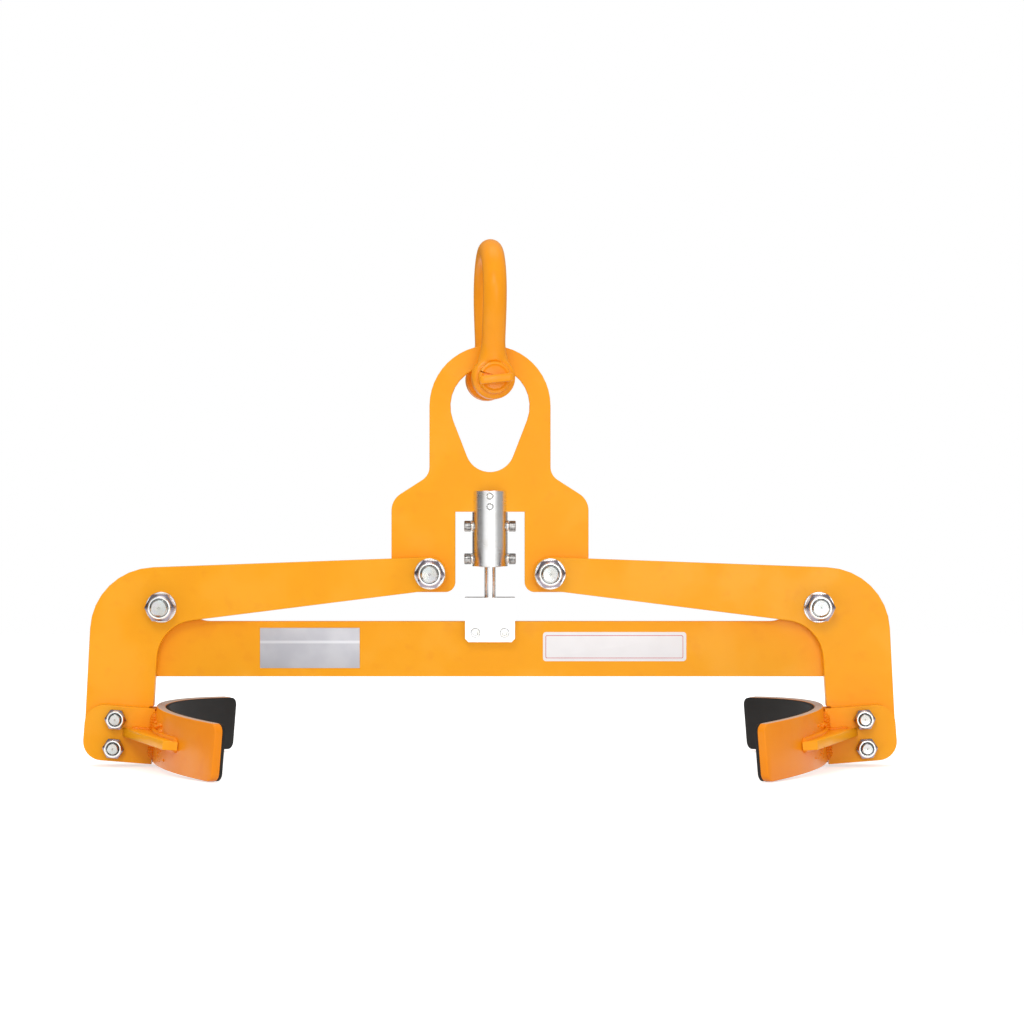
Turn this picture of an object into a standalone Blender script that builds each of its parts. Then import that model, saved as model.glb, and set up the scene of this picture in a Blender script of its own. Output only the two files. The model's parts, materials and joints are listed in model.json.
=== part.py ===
"""Overhead drum lifter: a scissor clamp for 572 mm steel drums with an automatic latch.

Lifting the eye plate raises the inner ends of two L-shaped arms, which swing two curved,
rubber-lined pads onto the drum. X runs along the beam, the front is -Y and Z is up. The arms
and pads are drawn as they grip a drum, and are then swung open about their outer pivots.
All lengths are in metres.
"""

import math

import bmesh
import bpy
from mathutils import Matrix, Vector

GAP = 0.0003
BAR = 0.0120
SMALL_BEVEL = 0.0006
CUT = 0.0010

DRUM_RADIUS = 0.286
OPEN_ANGLE = math.radians(4.5)
PIVOT_OUTSET = 0.0113

M16_HOLE = 0.0170
M16_SHANK = 0.0160
M16_FLATS = 0.0240
M16_HEAD = 0.0100
M16_NUT = 0.0130
M16_COLLAR = 0.0030
M16_WASHER = 0.0280
M16_WASHER_THICK = 0.0030
M16_TAIL = 0.0030
M10_HOLE = 0.0106
M10_SHANK = 0.0100
M10_FLATS = 0.0170
M10_HEAD = 0.0064
M10_NUT = 0.0080
M10_COLLAR = 0.0025
M10_TAIL = 0.0015

INNER_PIN_RISE = 0.0492
ARM_END_RADIUS = 0.0150
ARM_TOP_SLOPE = math.radians(6.6)
ARM_LOWER_SLOPE = math.radians(11.7)
ELBOW_OUTER = 0.0640
ELBOW_RADIUS = 0.0580
THROAT_RADIUS = 0.0360
LEG_INNER = -0.0010
LEG_OUTER_FOOT = 0.0597
LEG_NOTCH = 0.0040
LEG_NOTCH_CLEARANCE = 0.0012
LEG_NOTCH_FILLET = 0.0020
LEG_NOTCH_EDGE = 0.0010

PAD_TO_BEAM = 0.0248
FOOT_CORNER = 0.0170
TAB_HEIGHT = 0.0500
TAB_THICK = 0.0100
PAD_BOLT_INSET = 0.0282
PAD_BOLT_SPACING = 0.0262

PAD_ADVANCE = 0.0026
PAD_THICK = 0.0080
PAD_HEIGHT = 0.0500
PAD_RISE = 0.0033
PAD_REACH = 0.1775
PAD_CORNER = 0.0075
PAD_STEPS = 16
LINING_THICK = 0.0030
LINING_INSET = 0.0003
GUSSET_THICK = 0.0080
GUSSET_START = 0.0250
GUSSET_RISE = 0.0022
GUSSET_TIP_WIDTH = 0.0135
GUSSET_TIP_REACH = 0.1250

BEAM_HEIGHT = 0.0500
BEAM_DROP = 0.0382
BEAM_LUG_RADIUS = 0.0220
BEAM_LUG_NECK = 0.0200
BEAM_END_CORNER = 0.0120

LIFTER_WIDTH = 0.1100
EAR_INNER_WALL = 0.0089
EAR_OUTER_WALL = 0.0211
LIFTER_SHOULDER_RISE = 0.0670
LIFTER_SHOULDER_DROP = 0.0222
LIFTER_WAIST_FILLET = 0.0140
LIFTER_SHOULDER_FILLET = 0.0180
LIFTER_FOOT_DROP = 0.0169
LIFTER_FOOT_CORNER = 0.0090
LIFTER_SLOT_CLEARANCE = 0.0081
LIFTER_SLOT_RISE = 0.0560
EYE_WALL = 0.0190
EYE_BRIDGE = 0.0362
PEAR_LOW_RADIUS = 0.0225
PEAR_SPAN = 0.0375
PIN_SLOT_TRAVEL = 0.0055

SLEEVE_RADIUS = 0.0160
SLEEVE_BORE = 0.0110
SLEEVE_LENGTH = 0.0692
SLEEVE_OVERLAP = 0.0192
SLEEVE_PIN = 0.0050
SLEEVE_PIN_RISES = (0.0047, 0.0142)
CAM_SCREW = 0.0060
CAM_SCREW_HEAD = 0.0100
CAM_SCREW_HEAD_LENGTH = 0.0060
CAM_SCREW_TIP = 0.0056
CAM_SCREW_DEPTHS = (0.0131, 0.0428)
CAM_WASHER = 0.0110
CAM_WASHER_THICK = 0.0016
CAM_SEAT = 0.0008

ROD_RADIUS = 0.0050
ROD_COLLAR_RADIUS = 0.0085
ROD_COLLAR_LENGTH = 0.0070
CAM_HEAD_LENGTH = 0.0150
CAM_HEAD_WIDTH = 0.0090
CAM_HEAD_HEIGHT = 0.0130
CAM_HEAD_CLEARANCE = 0.0006
CAM_RAMP_LENGTH = 0.0040
CAM_RAMP_RISE = 0.0030

SADDLE_WIDTH = 0.0450
SADDLE_DEPTH = 0.0360
SADDLE_HEIGHT = 0.0400
SADDLE_TOP = 0.0214
SADDLE_CHAMFER = 0.0030
SADDLE_SCREW_SPACING = 0.0264
SADDLE_SCREW_RISE = 0.0084
SADDLE_SCREW = 0.0060
SADDLE_SCREW_HEAD = 0.0085
SADDLE_SCREW_HEAD_LENGTH = 0.0050

SHACKLE_YAW = math.radians(6.5)
SHACKLE_WIRE = 0.0215
SHACKLE_PIN = 0.0220
SHACKLE_JAW = 0.0320
SHACKLE_EYE = 0.0390
SHACKLE_EYE_THICK = 0.0180
SHACKLE_BOW_WIDTH = 0.0790
SHACKLE_HEIGHT = 0.1280
SHACKLE_COLLAR = 0.0290
SHACKLE_COLLAR_THICK = 0.0060
SHACKLE_ROOT = 0.0040
SHACKLE_EYE_BEVEL = 0.0030
SHACKLE_PIN_TAIL = 0.0040
SHACKLE_PIN_BEVEL = 0.0020
SHACKLE_FLAG_WIDTH = 0.0330
SHACKLE_FLAG_ROOT = 0.0240
SHACKLE_FLAG_CORNER = 0.0050
SHACKLE_FLAG_LENGTH = 0.0140
SHACKLE_FLAG_THICK = 0.0060
SHACKLE_FLAG_TURN = math.radians(6)

PLATE_STEP = BAR + 2 * GAP

CAM_SCREW_SEAT = SLEEVE_RADIUS - CAM_SEAT + GAP
CAM_SCREW_UNDER = CAM_SCREW_SEAT + CAM_WASHER_THICK + GAP
CAM_SCREW_TOP = CAM_SCREW_UNDER + CAM_SCREW_HEAD_LENGTH
LIFTER_SLOT_HALF = CAM_SCREW_TOP + LIFTER_SLOT_CLEARANCE
INNER_PIN_X = LIFTER_SLOT_HALF + EAR_INNER_WALL + PIN_SLOT_TRAVEL + M16_HOLE / 2
LIFTER_SHOULDER_HALF = INNER_PIN_X + M16_HOLE / 2 + PIN_SLOT_TRAVEL + EAR_OUTER_WALL
PIVOT_X = DRUM_RADIUS + PIVOT_OUTSET
PAD_AXIS = PIVOT_X + PAD_ADVANCE
INNER_PIN_REACH = ((PIVOT_X - INNER_PIN_X - INNER_PIN_RISE * math.sin(OPEN_ANGLE))
                   / math.cos(OPEN_ANGLE))
PEAR_TOP_RADIUS = LIFTER_WIDTH / 2 - EYE_WALL
LIFTER_EYE_RISE = LIFTER_SLOT_RISE + EYE_BRIDGE + PEAR_LOW_RADIUS + PEAR_SPAN
FOOT_DROP = BEAM_DROP + BEAM_HEIGHT / 2 + PAD_TO_BEAM + PAD_HEIGHT + PAD_RISE
LEFT, RIGHT = -1, 1
SIDE_NAMES = {LEFT: "left", RIGHT: "right"}


def clear_scene():
    for item in list(bpy.data.objects):
        bpy.data.objects.remove(item, do_unlink=True)


def make_collection(name):
    collection = bpy.data.collections.new(name)
    bpy.context.scene.collection.children.link(collection)
    return collection


def make_material(name, colour, roughness, metallic):
    material = bpy.data.materials.new(name)
    material.use_nodes = True
    shader = material.node_tree.nodes["Principled BSDF"]
    shader.inputs["Base Color"].default_value = (*colour, 1.0)
    shader.inputs["Roughness"].default_value = roughness
    shader.inputs["Metallic"].default_value = metallic
    return material


clear_scene()
PARTS = make_collection("drum_lifter")
CUTTERS = make_collection("cutters")
PAINT = make_material("orange_paint", (0.95, 0.36, 0.02), 0.35, 0.0)
STEEL = make_material("turned_steel", (0.55, 0.55, 0.54), 0.30, 1.0)
ZINC = make_material("zinc_plate", (0.62, 0.62, 0.60), 0.35, 1.0)
BLACK_SCREW = make_material("black_oxide", (0.06, 0.06, 0.06), 0.45, 1.0)
ALUMINIUM = make_material("milled_aluminium", (0.80, 0.81, 0.82), 0.30, 1.0)
RUBBER = make_material("black_rubber", (0.02, 0.02, 0.02), 0.80, 0.0)


def make_empty(name, location, parent=None, yaw=0.0, tilt=0.0):
    empty = bpy.data.objects.new(name, None)
    PARTS.objects.link(empty)
    empty.parent = parent
    empty.location = location
    empty.rotation_euler = (0.0, tilt, yaw)
    return empty


def add_mesh(name, mesh, material, parent, location=(0, 0, 0), rotation=(0, 0, 0)):
    item = bpy.data.objects.new(name, mesh)
    mesh.materials.clear()
    mesh.materials.append(material)
    mesh.shade_smooth()
    mesh.set_sharp_from_angle(angle=math.radians(35))
    PARTS.objects.link(item)
    item.parent = parent
    item.location = location
    item.rotation_euler = rotation
    return item


def round_corners(corners, segments=8):
    """Outline points for corners given as (x, y, radius), going round the shape."""
    points = []
    count = len(corners)
    for index, (x, y, radius) in enumerate(corners):
        corner = Vector((x, y))
        before = (Vector(corners[index - 1][:2]) - corner).normalized()
        after = (Vector(corners[(index + 1) % count][:2]) - corner).normalized()
        if radius <= 0.0:
            points.append((x, y))
            continue
        half = before.angle(after) / 2
        start = corner + before * (radius / math.tan(half))
        centre = corner + (before + after).normalized() * (radius / math.sin(half))
        sweep = math.pi - 2 * half
        turn = 1.0 if before.cross(after) < 0.0 else -1.0
        arm = start - centre
        for step in range(segments + 1):
            spoke = arm.copy()
            spoke.rotate(Matrix.Rotation(turn * sweep * step / segments, 2))
            points.append(tuple(centre + spoke))
    return drop_repeats(points)


def drop_repeats(points, nearest=1e-5):
    kept = []
    for point in points:
        if not kept or math.dist(point, kept[-1]) > nearest:
            kept.append(point)
    if math.dist(kept[0], kept[-1]) < nearest:
        kept.pop()
    return kept


def circle(x, y, radius, segments=24):
    turn = 2 * math.pi / segments
    return [(x + radius * math.cos(turn * (step + 0.5)), y + radius * math.sin(turn * (step + 0.5)))
            for step in range(segments)]


def slot(x, y, radius, travel, segments=10):
    """A slot along X: two half circles whose centres lie travel either side of the middle."""
    points = []
    for centre, start in ((x + travel, -math.pi / 2), (x - travel, math.pi / 2)):
        for step in range(segments + 1):
            angle = start + math.pi * step / segments
            points.append((centre + radius * math.cos(angle), y + radius * math.sin(angle)))
    return points


def mirrored(corners, side):
    """Corners drawn for the left arm, with +X inboard, turned over for the right arm."""
    return [(-side * x, *rest) for x, *rest in corners]


def plate_mesh(name, outlines, thickness):
    """A flat plate: its outlines lie in the local XY plane and it is centred on that plane."""
    curve = bpy.data.curves.new(name, "CURVE")
    curve.dimensions = "2D"
    curve.fill_mode = "BOTH"
    curve.extrude = thickness / 2
    for outline in outlines:
        spline = curve.splines.new("POLY")
        spline.points.add(len(outline) - 1)
        for point, (x, y) in zip(spline.points, outline):
            point.co = (x, y, 0.0, 1.0)
        spline.use_cyclic_u = True
    guide = bpy.data.objects.new(name + "_outline", curve)
    CUTTERS.objects.link(guide)
    bpy.context.view_layer.update()
    seen = guide.evaluated_get(bpy.context.evaluated_depsgraph_get())
    mesh = bpy.data.meshes.new_from_object(seen)
    bpy.data.objects.remove(guide, do_unlink=True)
    weld(mesh)
    mesh.name = name
    return mesh


def face_outwards(body):
    bmesh.ops.recalc_face_normals(body, faces=body.faces)
    if body.calc_volume(signed=True) < 0.0:
        bmesh.ops.reverse_faces(body, faces=body.faces)


def weld(mesh, distance=1e-6):
    body = bmesh.new()
    body.from_mesh(mesh)
    bmesh.ops.remove_doubles(body, verts=body.verts, dist=distance)
    face_outwards(body)
    body.to_mesh(mesh)
    body.free()


def plate(name, outlines, thickness, parent, y=0.0, material=None):
    """An upright plate facing the front, with its middle at the given y."""
    mesh = plate_mesh(name, outlines, thickness)
    mesh.transform(Matrix.Rotation(math.pi / 2, 4, "X"))
    return add_mesh(name, mesh, material or PAINT, parent, (0.0, y, 0.0))


def turned_mesh(name, profile, segments):
    """A solid of revolution about Z from (radius, z) points listed from the bottom up."""
    body = bmesh.new()
    rim = [body.verts.new((radius, 0.0, z)) for radius, z in profile]
    edges = [body.edges.new(pair) for pair in zip(rim, rim[1:])]
    bmesh.ops.spin(body, geom=rim + edges, cent=(0, 0, 0), axis=(0, 0, 1), angle=2 * math.pi,
                   steps=segments, use_merge=True)
    bmesh.ops.remove_doubles(body, verts=body.verts, dist=1e-7)
    face_outwards(body)
    mesh = bpy.data.meshes.new(name)
    body.to_mesh(mesh)
    body.free()
    return mesh


def hexagon_mesh(name, flats, low, high):
    """A hexagonal bar along Z with two flats facing along Y."""
    body = bmesh.new()
    place = Matrix.Translation((0, 0, (high + low) / 2)) @ Matrix.Rotation(math.pi / 6, 4, "Z")
    bmesh.ops.create_cone(body, cap_ends=True, segments=6, radius1=flats / math.sqrt(3),
                          radius2=flats / math.sqrt(3), depth=high - low, matrix=place)
    mesh = bpy.data.meshes.new(name)
    body.to_mesh(mesh)
    body.free()
    return mesh


def box_mesh(name, low, high):
    body = bmesh.new()
    size = Vector(high) - Vector(low)
    middle = (Vector(high) + Vector(low)) / 2
    bmesh.ops.create_cube(body, size=1.0, matrix=Matrix.LocRotScale(middle, None, size))
    mesh = bpy.data.meshes.new(name)
    body.to_mesh(mesh)
    body.free()
    return mesh


def combined(name, start, steps):
    """The mesh of a start shape after Boolean steps, each an (operation, mesh) pair."""
    work = bpy.data.objects.new(name, start)
    CUTTERS.objects.link(work)
    tools = []
    for number, (operation, mesh) in enumerate(steps):
        tool = bpy.data.objects.new(f"{name}_tool_{number}", mesh)
        CUTTERS.objects.link(tool)
        tools.append(tool)
        boolean = work.modifiers.new(f"step_{number}", "BOOLEAN")
        boolean.operation = operation
        boolean.object = tool
        boolean.solver = "EXACT"
    bpy.context.view_layer.update()
    seen = work.evaluated_get(bpy.context.evaluated_depsgraph_get())
    mesh = bpy.data.meshes.new_from_object(seen)
    for item in (work, *tools):
        bpy.data.objects.remove(item, do_unlink=True)
    weld(mesh)
    mesh.name = name
    return mesh


def bolt_mesh(name, flats, head, shank, length, segments=20):
    """A hex bolt along +Z: the underside of its head is at z = 0 and the shank runs upwards."""
    radius = shank / 2
    tip = 0.12 * shank
    shank_mesh = turned_mesh("shank", [(0, -head / 2), (radius, -head / 2), (radius, length - tip),
                                       (radius - tip, length), (0, length)], segments)
    corner = flats / math.sqrt(3)
    crown = 0.96 * flats / 2
    drop = (corner - crown) * math.tan(math.radians(30))
    cap = turned_mesh("cap", [(0, -head), (crown, -head), (corner, drop - head), (corner, 0.0),
                              (0, 0.0)], segments)
    mesh = hexagon_mesh(name, flats, -head - CUT, CUT)
    return combined(name, mesh, [("INTERSECT", cap), ("UNION", shank_mesh)])


def nut_mesh(name, flats, height, collar, bore, segments=20):
    """A nyloc nut along +Z with its seat at z = 0 and its rounded collar on top."""
    corner = flats / math.sqrt(3)
    crown = 0.96 * flats / 2
    drop = (corner - crown) * math.tan(math.radians(30))
    collar_radius = 0.455 * flats
    bevel = 0.3 * collar
    envelope = turned_mesh("envelope", [
        (0, 0), (crown, 0), (corner, drop), (corner, height - drop), (crown, height), (0, height),
    ], segments)
    cap = turned_mesh("cap", [
        (0, height / 2), (collar_radius, height / 2), (collar_radius, height + collar - bevel),
        (collar_radius - bevel, height + collar), (0, height + collar),
    ], segments)
    hole = turned_mesh("hole", [(0, -height), (bore / 2, -height), (bore / 2, 2 * height),
                                (0, 2 * height)], segments)
    mesh = hexagon_mesh(name, flats, -CUT, height + CUT)
    return combined(name, mesh, [("INTERSECT", envelope), ("UNION", cap), ("DIFFERENCE", hole)])


FACING_FRONT = (math.pi / 2, 0.0, 0.0)


def pivot_fasteners(prefix, parent, x, z):
    """M16 bolt from the rear through a lug and an arm, with washers and a nut in front."""
    front = -BAR / 2 - GAP
    rear = PLATE_STEP + BAR / 2 + GAP
    washer = plate_mesh(prefix + "_washer", [circle(0, 0, M16_WASHER / 2),
                                             circle(0, 0, M16_HOLE / 2)], M16_WASHER_THICK)
    front_y = front - M16_WASHER_THICK / 2
    rear_y = rear + M16_WASHER_THICK / 2
    add_mesh(prefix + "_front_washer", washer, ZINC, parent, (x, front_y, z), FACING_FRONT)
    add_mesh(prefix + "_rear_washer", washer, ZINC, parent, (x, rear_y, z), FACING_FRONT)
    seat = rear + M16_WASHER_THICK + GAP
    nut_seat = front - M16_WASHER_THICK - GAP
    length = seat - nut_seat + M16_NUT + M16_COLLAR + M16_TAIL
    bolt = bolt_mesh(prefix + "_bolt", M16_FLATS, M16_HEAD, M16_SHANK, length)
    add_mesh(prefix + "_bolt", bolt, ZINC, parent, (x, seat, z), FACING_FRONT)
    nut = nut_mesh(prefix + "_nut", M16_FLATS, M16_NUT, M16_COLLAR, M16_SHANK + 2 * GAP)
    add_mesh(prefix + "_nut", nut, ZINC, parent, (x, nut_seat, z), FACING_FRONT)


def arm_outline(side):
    top = INNER_PIN_RISE + ARM_END_RADIUS / math.cos(ARM_TOP_SLOPE)
    low = INNER_PIN_RISE - ARM_END_RADIUS / math.cos(ARM_LOWER_SLOPE)
    tip = INNER_PIN_REACH + ARM_END_RADIUS

    def top_at(x):
        return top + (x - INNER_PIN_REACH) * math.tan(ARM_TOP_SLOPE)

    def low_at(x):
        return low + (x - INNER_PIN_REACH) * math.tan(ARM_LOWER_SLOPE)

    notch_top = TAB_HEIGHT + LEG_NOTCH_CLEARANCE - FOOT_DROP
    corners = [
        (-LEG_OUTER_FOOT, -FOOT_DROP, FOOT_CORNER),
        (-LEG_NOTCH, -FOOT_DROP, 0.0),
        (-LEG_NOTCH, notch_top, LEG_NOTCH_FILLET),
        (0.0, notch_top, LEG_NOTCH_EDGE),
        (LEG_INNER, low_at(0.0), THROAT_RADIUS),
        (tip, low_at(tip), ARM_END_RADIUS),
        (tip, top_at(tip), ARM_END_RADIUS),
        (-ELBOW_OUTER, top_at(-ELBOW_OUTER), ELBOW_RADIUS),
    ]
    return round_corners(mirrored(corners, side))


def pad_bolt_places():
    middle = -FOOT_DROP + TAB_HEIGHT / 2
    for name, offset in (("upper", PAD_BOLT_SPACING / 2), ("lower", -PAD_BOLT_SPACING / 2)):
        yield name, -LEG_OUTER_FOOT + PAD_BOLT_INSET, middle + offset


def arm_plate(side, parent):
    outlines = [arm_outline(side), circle(0, 0, M16_HOLE / 2)]
    outlines.append(circle(-side * INNER_PIN_REACH, INNER_PIN_RISE, M16_HOLE / 2))
    for _, x, z in pad_bolt_places():
        outlines.append(circle(-side * x, z, M10_HOLE / 2, 16))
    plate(SIDE_NAMES[side] + "_arm_plate", outlines, BAR, parent)


def pad_outer_radius():
    return DRUM_RADIUS + LINING_THICK + GAP + PAD_THICK


def pad_face_x(y, clearance):
    """How far inboard of the pivot the pad plate's outer face lies, at a given y."""
    radius = pad_outer_radius() + clearance
    return PAD_AXIS - math.sqrt(radius ** 2 - (y - PLATE_STEP) ** 2)


def shoe_tabs(side, parent):
    y = BAR / 2 + GAP + TAB_THICK / 2
    for place, at_y in (("front", -y), ("rear", y)):
        reach = min(pad_face_x(at_y - TAB_THICK / 2, GAP), pad_face_x(at_y + TAB_THICK / 2, GAP))
        corners = [
            (-LEG_OUTER_FOOT, -FOOT_DROP, FOOT_CORNER),
            (reach, -FOOT_DROP, 0.0),
            (reach, TAB_HEIGHT - FOOT_DROP, 0.0),
            (-LEG_OUTER_FOOT, TAB_HEIGHT - FOOT_DROP, FOOT_CORNER),
        ]
        outlines = [round_corners(mirrored(corners, side))]
        for _, x, z in pad_bolt_places():
            outlines.append(circle(-side * x, z, M10_HOLE / 2, 16))
        plate(f"{SIDE_NAMES[side]}_shoe_{place}_tab", outlines, TAB_THICK, parent, at_y)


def rolled_plate(name, inner, outer, front, rear, inset, side, parent, material):
    """A plate with rounded corners, rolled to the drum's radius about the drum's axis."""
    middle = (inner + outer) / 2
    low = -FOOT_DROP + PAD_RISE + inset
    high = low + PAD_HEIGHT - 2 * inset
    start, end = -front * middle + inset, rear * middle - inset
    corners = [(start, low, PAD_CORNER), (end, low, PAD_CORNER),
               (end, high, PAD_CORNER), (start, high, PAD_CORNER)]
    mesh = plate_mesh(name, [round_corners(corners, 4)], outer - inner)
    body = bmesh.new()
    body.from_mesh(mesh)
    for step in range(1, PAD_STEPS):
        along = start + (end - start) * step / PAD_STEPS
        geometry = body.verts[:] + body.edges[:] + body.faces[:]
        bmesh.ops.bisect_plane(body, geom=geometry, dist=1e-6, plane_co=(along, 0, 0),
                               plane_no=(1, 0, 0))
    for vert in body.verts:
        along, height, depth = vert.co
        radius = middle - side * depth
        angle = along / middle
        vert.co = (side * (radius * math.cos(angle) - PAD_AXIS),
                   PLATE_STEP + radius * math.sin(angle), height)
    face_outwards(body)
    body.to_mesh(mesh)
    body.free()
    return add_mesh(name, mesh, material, parent)


def pads(side, parent):
    outer = pad_outer_radius()
    steel_inner = outer - PAD_THICK
    front = math.asin((PAD_REACH + PLATE_STEP) / outer)
    rear = math.asin((PAD_REACH - PLATE_STEP) / outer)
    name = SIDE_NAMES[side]
    rolled_plate(name + "_pad_plate", steel_inner, outer, front, rear, 0.0, side, parent, PAINT)
    rolled_plate(name + "_rubber_lining", DRUM_RADIUS, DRUM_RADIUS + LINING_THICK, front, rear,
                 LINING_INSET, side, parent, RUBBER)


def gusset(side, parent, place):
    """A flat web on one tab that braces the wing of the rolled pad plate."""
    facing = -1 if place == "front" else 1
    tab_face = BAR / 2 + GAP + TAB_THICK + GAP
    tip_y = facing * GUSSET_TIP_REACH
    points = [(-GUSSET_START, facing * tab_face)]
    tip_x = pad_face_x(tip_y, GAP)
    points.append((tip_x - GUSSET_TIP_WIDTH, tip_y))
    steps = 10
    for step in range(steps + 1):
        y = tip_y + (facing * tab_face - tip_y) * step / steps
        points.append((pad_face_x(y, 2 * GAP), y))
    outline = [(-side * x, y) for x, y in points]
    name = f"{SIDE_NAMES[side]}_{place}_gusset"
    mesh = plate_mesh(name, [outline], GUSSET_THICK)
    add_mesh(name, mesh, PAINT, parent, (0, 0, GUSSET_RISE - FOOT_DROP + TAB_HEIGHT / 2))


def pad_fasteners(side, parent):
    seat = BAR / 2 + GAP + TAB_THICK + GAP
    length = 2 * seat + M10_NUT + M10_COLLAR + M10_TAIL
    name = SIDE_NAMES[side]
    bolt = bolt_mesh(name + "_pad_bolt", M10_FLATS, M10_HEAD, M10_SHANK, length, 16)
    nut = nut_mesh(name + "_pad_nut", M10_FLATS, M10_NUT, M10_COLLAR, M10_SHANK + 2 * GAP, 16)
    for place, x, z in pad_bolt_places():
        add_mesh(f"{name}_{place}_pad_bolt", bolt, ZINC, parent, (-side * x, seat, z), FACING_FRONT)
        add_mesh(f"{name}_{place}_pad_nut", nut, ZINC, parent, (-side * x, -seat, z), FACING_FRONT)


def arm(side, root):
    pivot = make_empty(SIDE_NAMES[side] + "_arm_pivot", (side * PIVOT_X, 0.0, 0.0), root,
                       tilt=-side * OPEN_ANGLE)
    arm_plate(side, pivot)
    shoe_tabs(side, pivot)
    pads(side, pivot)
    for place in ("front", "rear"):
        gusset(side, pivot, place)
    pad_fasteners(side, pivot)
    pivot_fasteners(SIDE_NAMES[side] + "_inner_pivot", pivot, -side * INNER_PIN_REACH,
                    INNER_PIN_RISE)


def cross_beam(root):
    """A flat bar whose ends rise behind the elbows into lugs round the outer pivots."""
    top = BEAM_HEIGHT / 2 - BEAM_DROP
    bottom = -BEAM_HEIGHT / 2 - BEAM_DROP
    end = PIVOT_X + BEAM_LUG_RADIUS
    neck = PIVOT_X - BEAM_LUG_RADIUS
    half = [
        (end, bottom, BEAM_END_CORNER),
        (end, BEAM_LUG_RADIUS, BEAM_LUG_RADIUS * 0.999),
        (neck, BEAM_LUG_RADIUS, BEAM_LUG_RADIUS * 0.999),
        (neck, top, BEAM_LUG_NECK),
    ]
    other = [(-x, z, radius) for x, z, radius in reversed(half)]
    outlines = [round_corners(half + other)]
    for side in (LEFT, RIGHT):
        outlines.append(circle(side * PIVOT_X, 0.0, M16_HOLE / 2))
        outlines.append(circle(side * SADDLE_SCREW_SPACING / 2, saddle_screw_height(),
                               SADDLE_SCREW / 2 + GAP, 16))
    plate("cross_beam", outlines, BAR, root, PLATE_STEP)
    for side in (LEFT, RIGHT):
        pivot_fasteners(SIDE_NAMES[side] + "_outer_pivot", root, side * PIVOT_X, 0.0)


def beam_top():
    return BEAM_HEIGHT / 2 - BEAM_DROP


def saddle_top():
    return beam_top() + GAP + SADDLE_TOP


def saddle_screw_height():
    return saddle_top() - SADDLE_HEIGHT + SADDLE_SCREW_RISE


def rod(low, high, radius, segments=20):
    """A plain cylinder along Z, used for cutters and pins."""
    return turned_mesh("rod", [(0, low), (radius, low), (radius, high), (0, high)], segments)


def stepped_rod(low, step, high, small, large, segments=16):
    """A cylinder along Z that widens at the given step, for a hole with a counterbore."""
    return turned_mesh("stepped_rod", [(0, low), (small, low), (small, step), (large, step),
                                       (large, high), (0, high)], segments)


def along_y(mesh, x, z):
    mesh.transform(Matrix.Translation((x, 0.0, z)) @ Matrix.Rotation(math.pi / 2, 4, "X"))
    return mesh


def saddle(root):
    """An inverted U block over the beam, with a bore and a pocket that hold the rod's collar."""
    top, half = saddle_top(), SADDLE_WIDTH / 2
    bottom = top - SADDLE_HEIGHT
    outline = [(-half + SADDLE_CHAMFER, bottom), (half - SADDLE_CHAMFER, bottom),
               (half, bottom + SADDLE_CHAMFER), (half, top), (-half, top),
               (-half, bottom + SADDLE_CHAMFER)]
    block = plate_mesh("saddle", [outline], SADDLE_DEPTH)
    block.transform(Matrix.Rotation(math.pi / 2, 4, "X"))
    depth = SADDLE_DEPTH / 2
    pocket = ROD_COLLAR_RADIUS + GAP
    ceiling = beam_top() + ROD_COLLAR_LENGTH + 3 * GAP
    steps = [
        ("DIFFERENCE", box_mesh("channel", (-2 * half, -BAR / 2 - GAP, bottom - CUT),
                                (2 * half, BAR / 2 + GAP, beam_top() + GAP))),
        ("DIFFERENCE", turned_mesh("pocket", [
            (0, beam_top() - CUT), (pocket, beam_top() - CUT), (pocket, ceiling),
            (ROD_RADIUS + GAP, ceiling), (ROD_RADIUS + GAP, top + CUT), (0, top + CUT)], 20)),
    ]
    for side in (LEFT, RIGHT):
        x, z = side * SADDLE_SCREW_SPACING / 2, saddle_screw_height()
        seat = depth - SADDLE_SCREW_HEAD_LENGTH - GAP
        hole = stepped_rod(-depth - CUT, seat, depth + CUT, SADDLE_SCREW / 2 + GAP,
                           SADDLE_SCREW_HEAD / 2 + GAP)
        steps.append(("DIFFERENCE", along_y(hole, x, z)))
    add_mesh("saddle", combined("saddle", block, steps), ALUMINIUM, root, (0, PLATE_STEP, 0))
    for side in (LEFT, RIGHT):
        saddle_screw(side, root, depth)


def saddle_screw(side, root, depth):
    """A socket screw set flush in the block's front face, through the beam to the rear face."""
    head, shank = SADDLE_SCREW_HEAD / 2, SADDLE_SCREW / 2
    under = depth - SADDLE_SCREW_HEAD_LENGTH
    socket = hexagon_mesh("socket", 0.6 * SADDLE_SCREW, depth - 0.6 * SADDLE_SCREW_HEAD_LENGTH,
                          depth + CUT)
    screw = turned_mesh("screw", [(0, CUT - depth), (shank, CUT - depth), (shank, under),
                                  (head, under), (head, depth), (0, depth)], 16)
    mesh = combined("screw", screw, [("DIFFERENCE", socket)])
    place = (side * SADDLE_SCREW_SPACING / 2, PLATE_STEP, saddle_screw_height())
    add_mesh(f"saddle_screw_{SIDE_NAMES[side]}", mesh, ZINC, root, place, FACING_FRONT)


def inner_pin_height():
    """The inner pins' height over the outer pivots with the arms swung open."""
    return (-INNER_PIN_REACH * math.sin(OPEN_ANGLE) + INNER_PIN_RISE * math.cos(OPEN_ANGLE))


def tangent_points(radius_a, radius_b, span):
    """Angle from the axis through two circles to where their common outer tangent touches."""
    return math.acos((radius_a - radius_b) / span)


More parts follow.
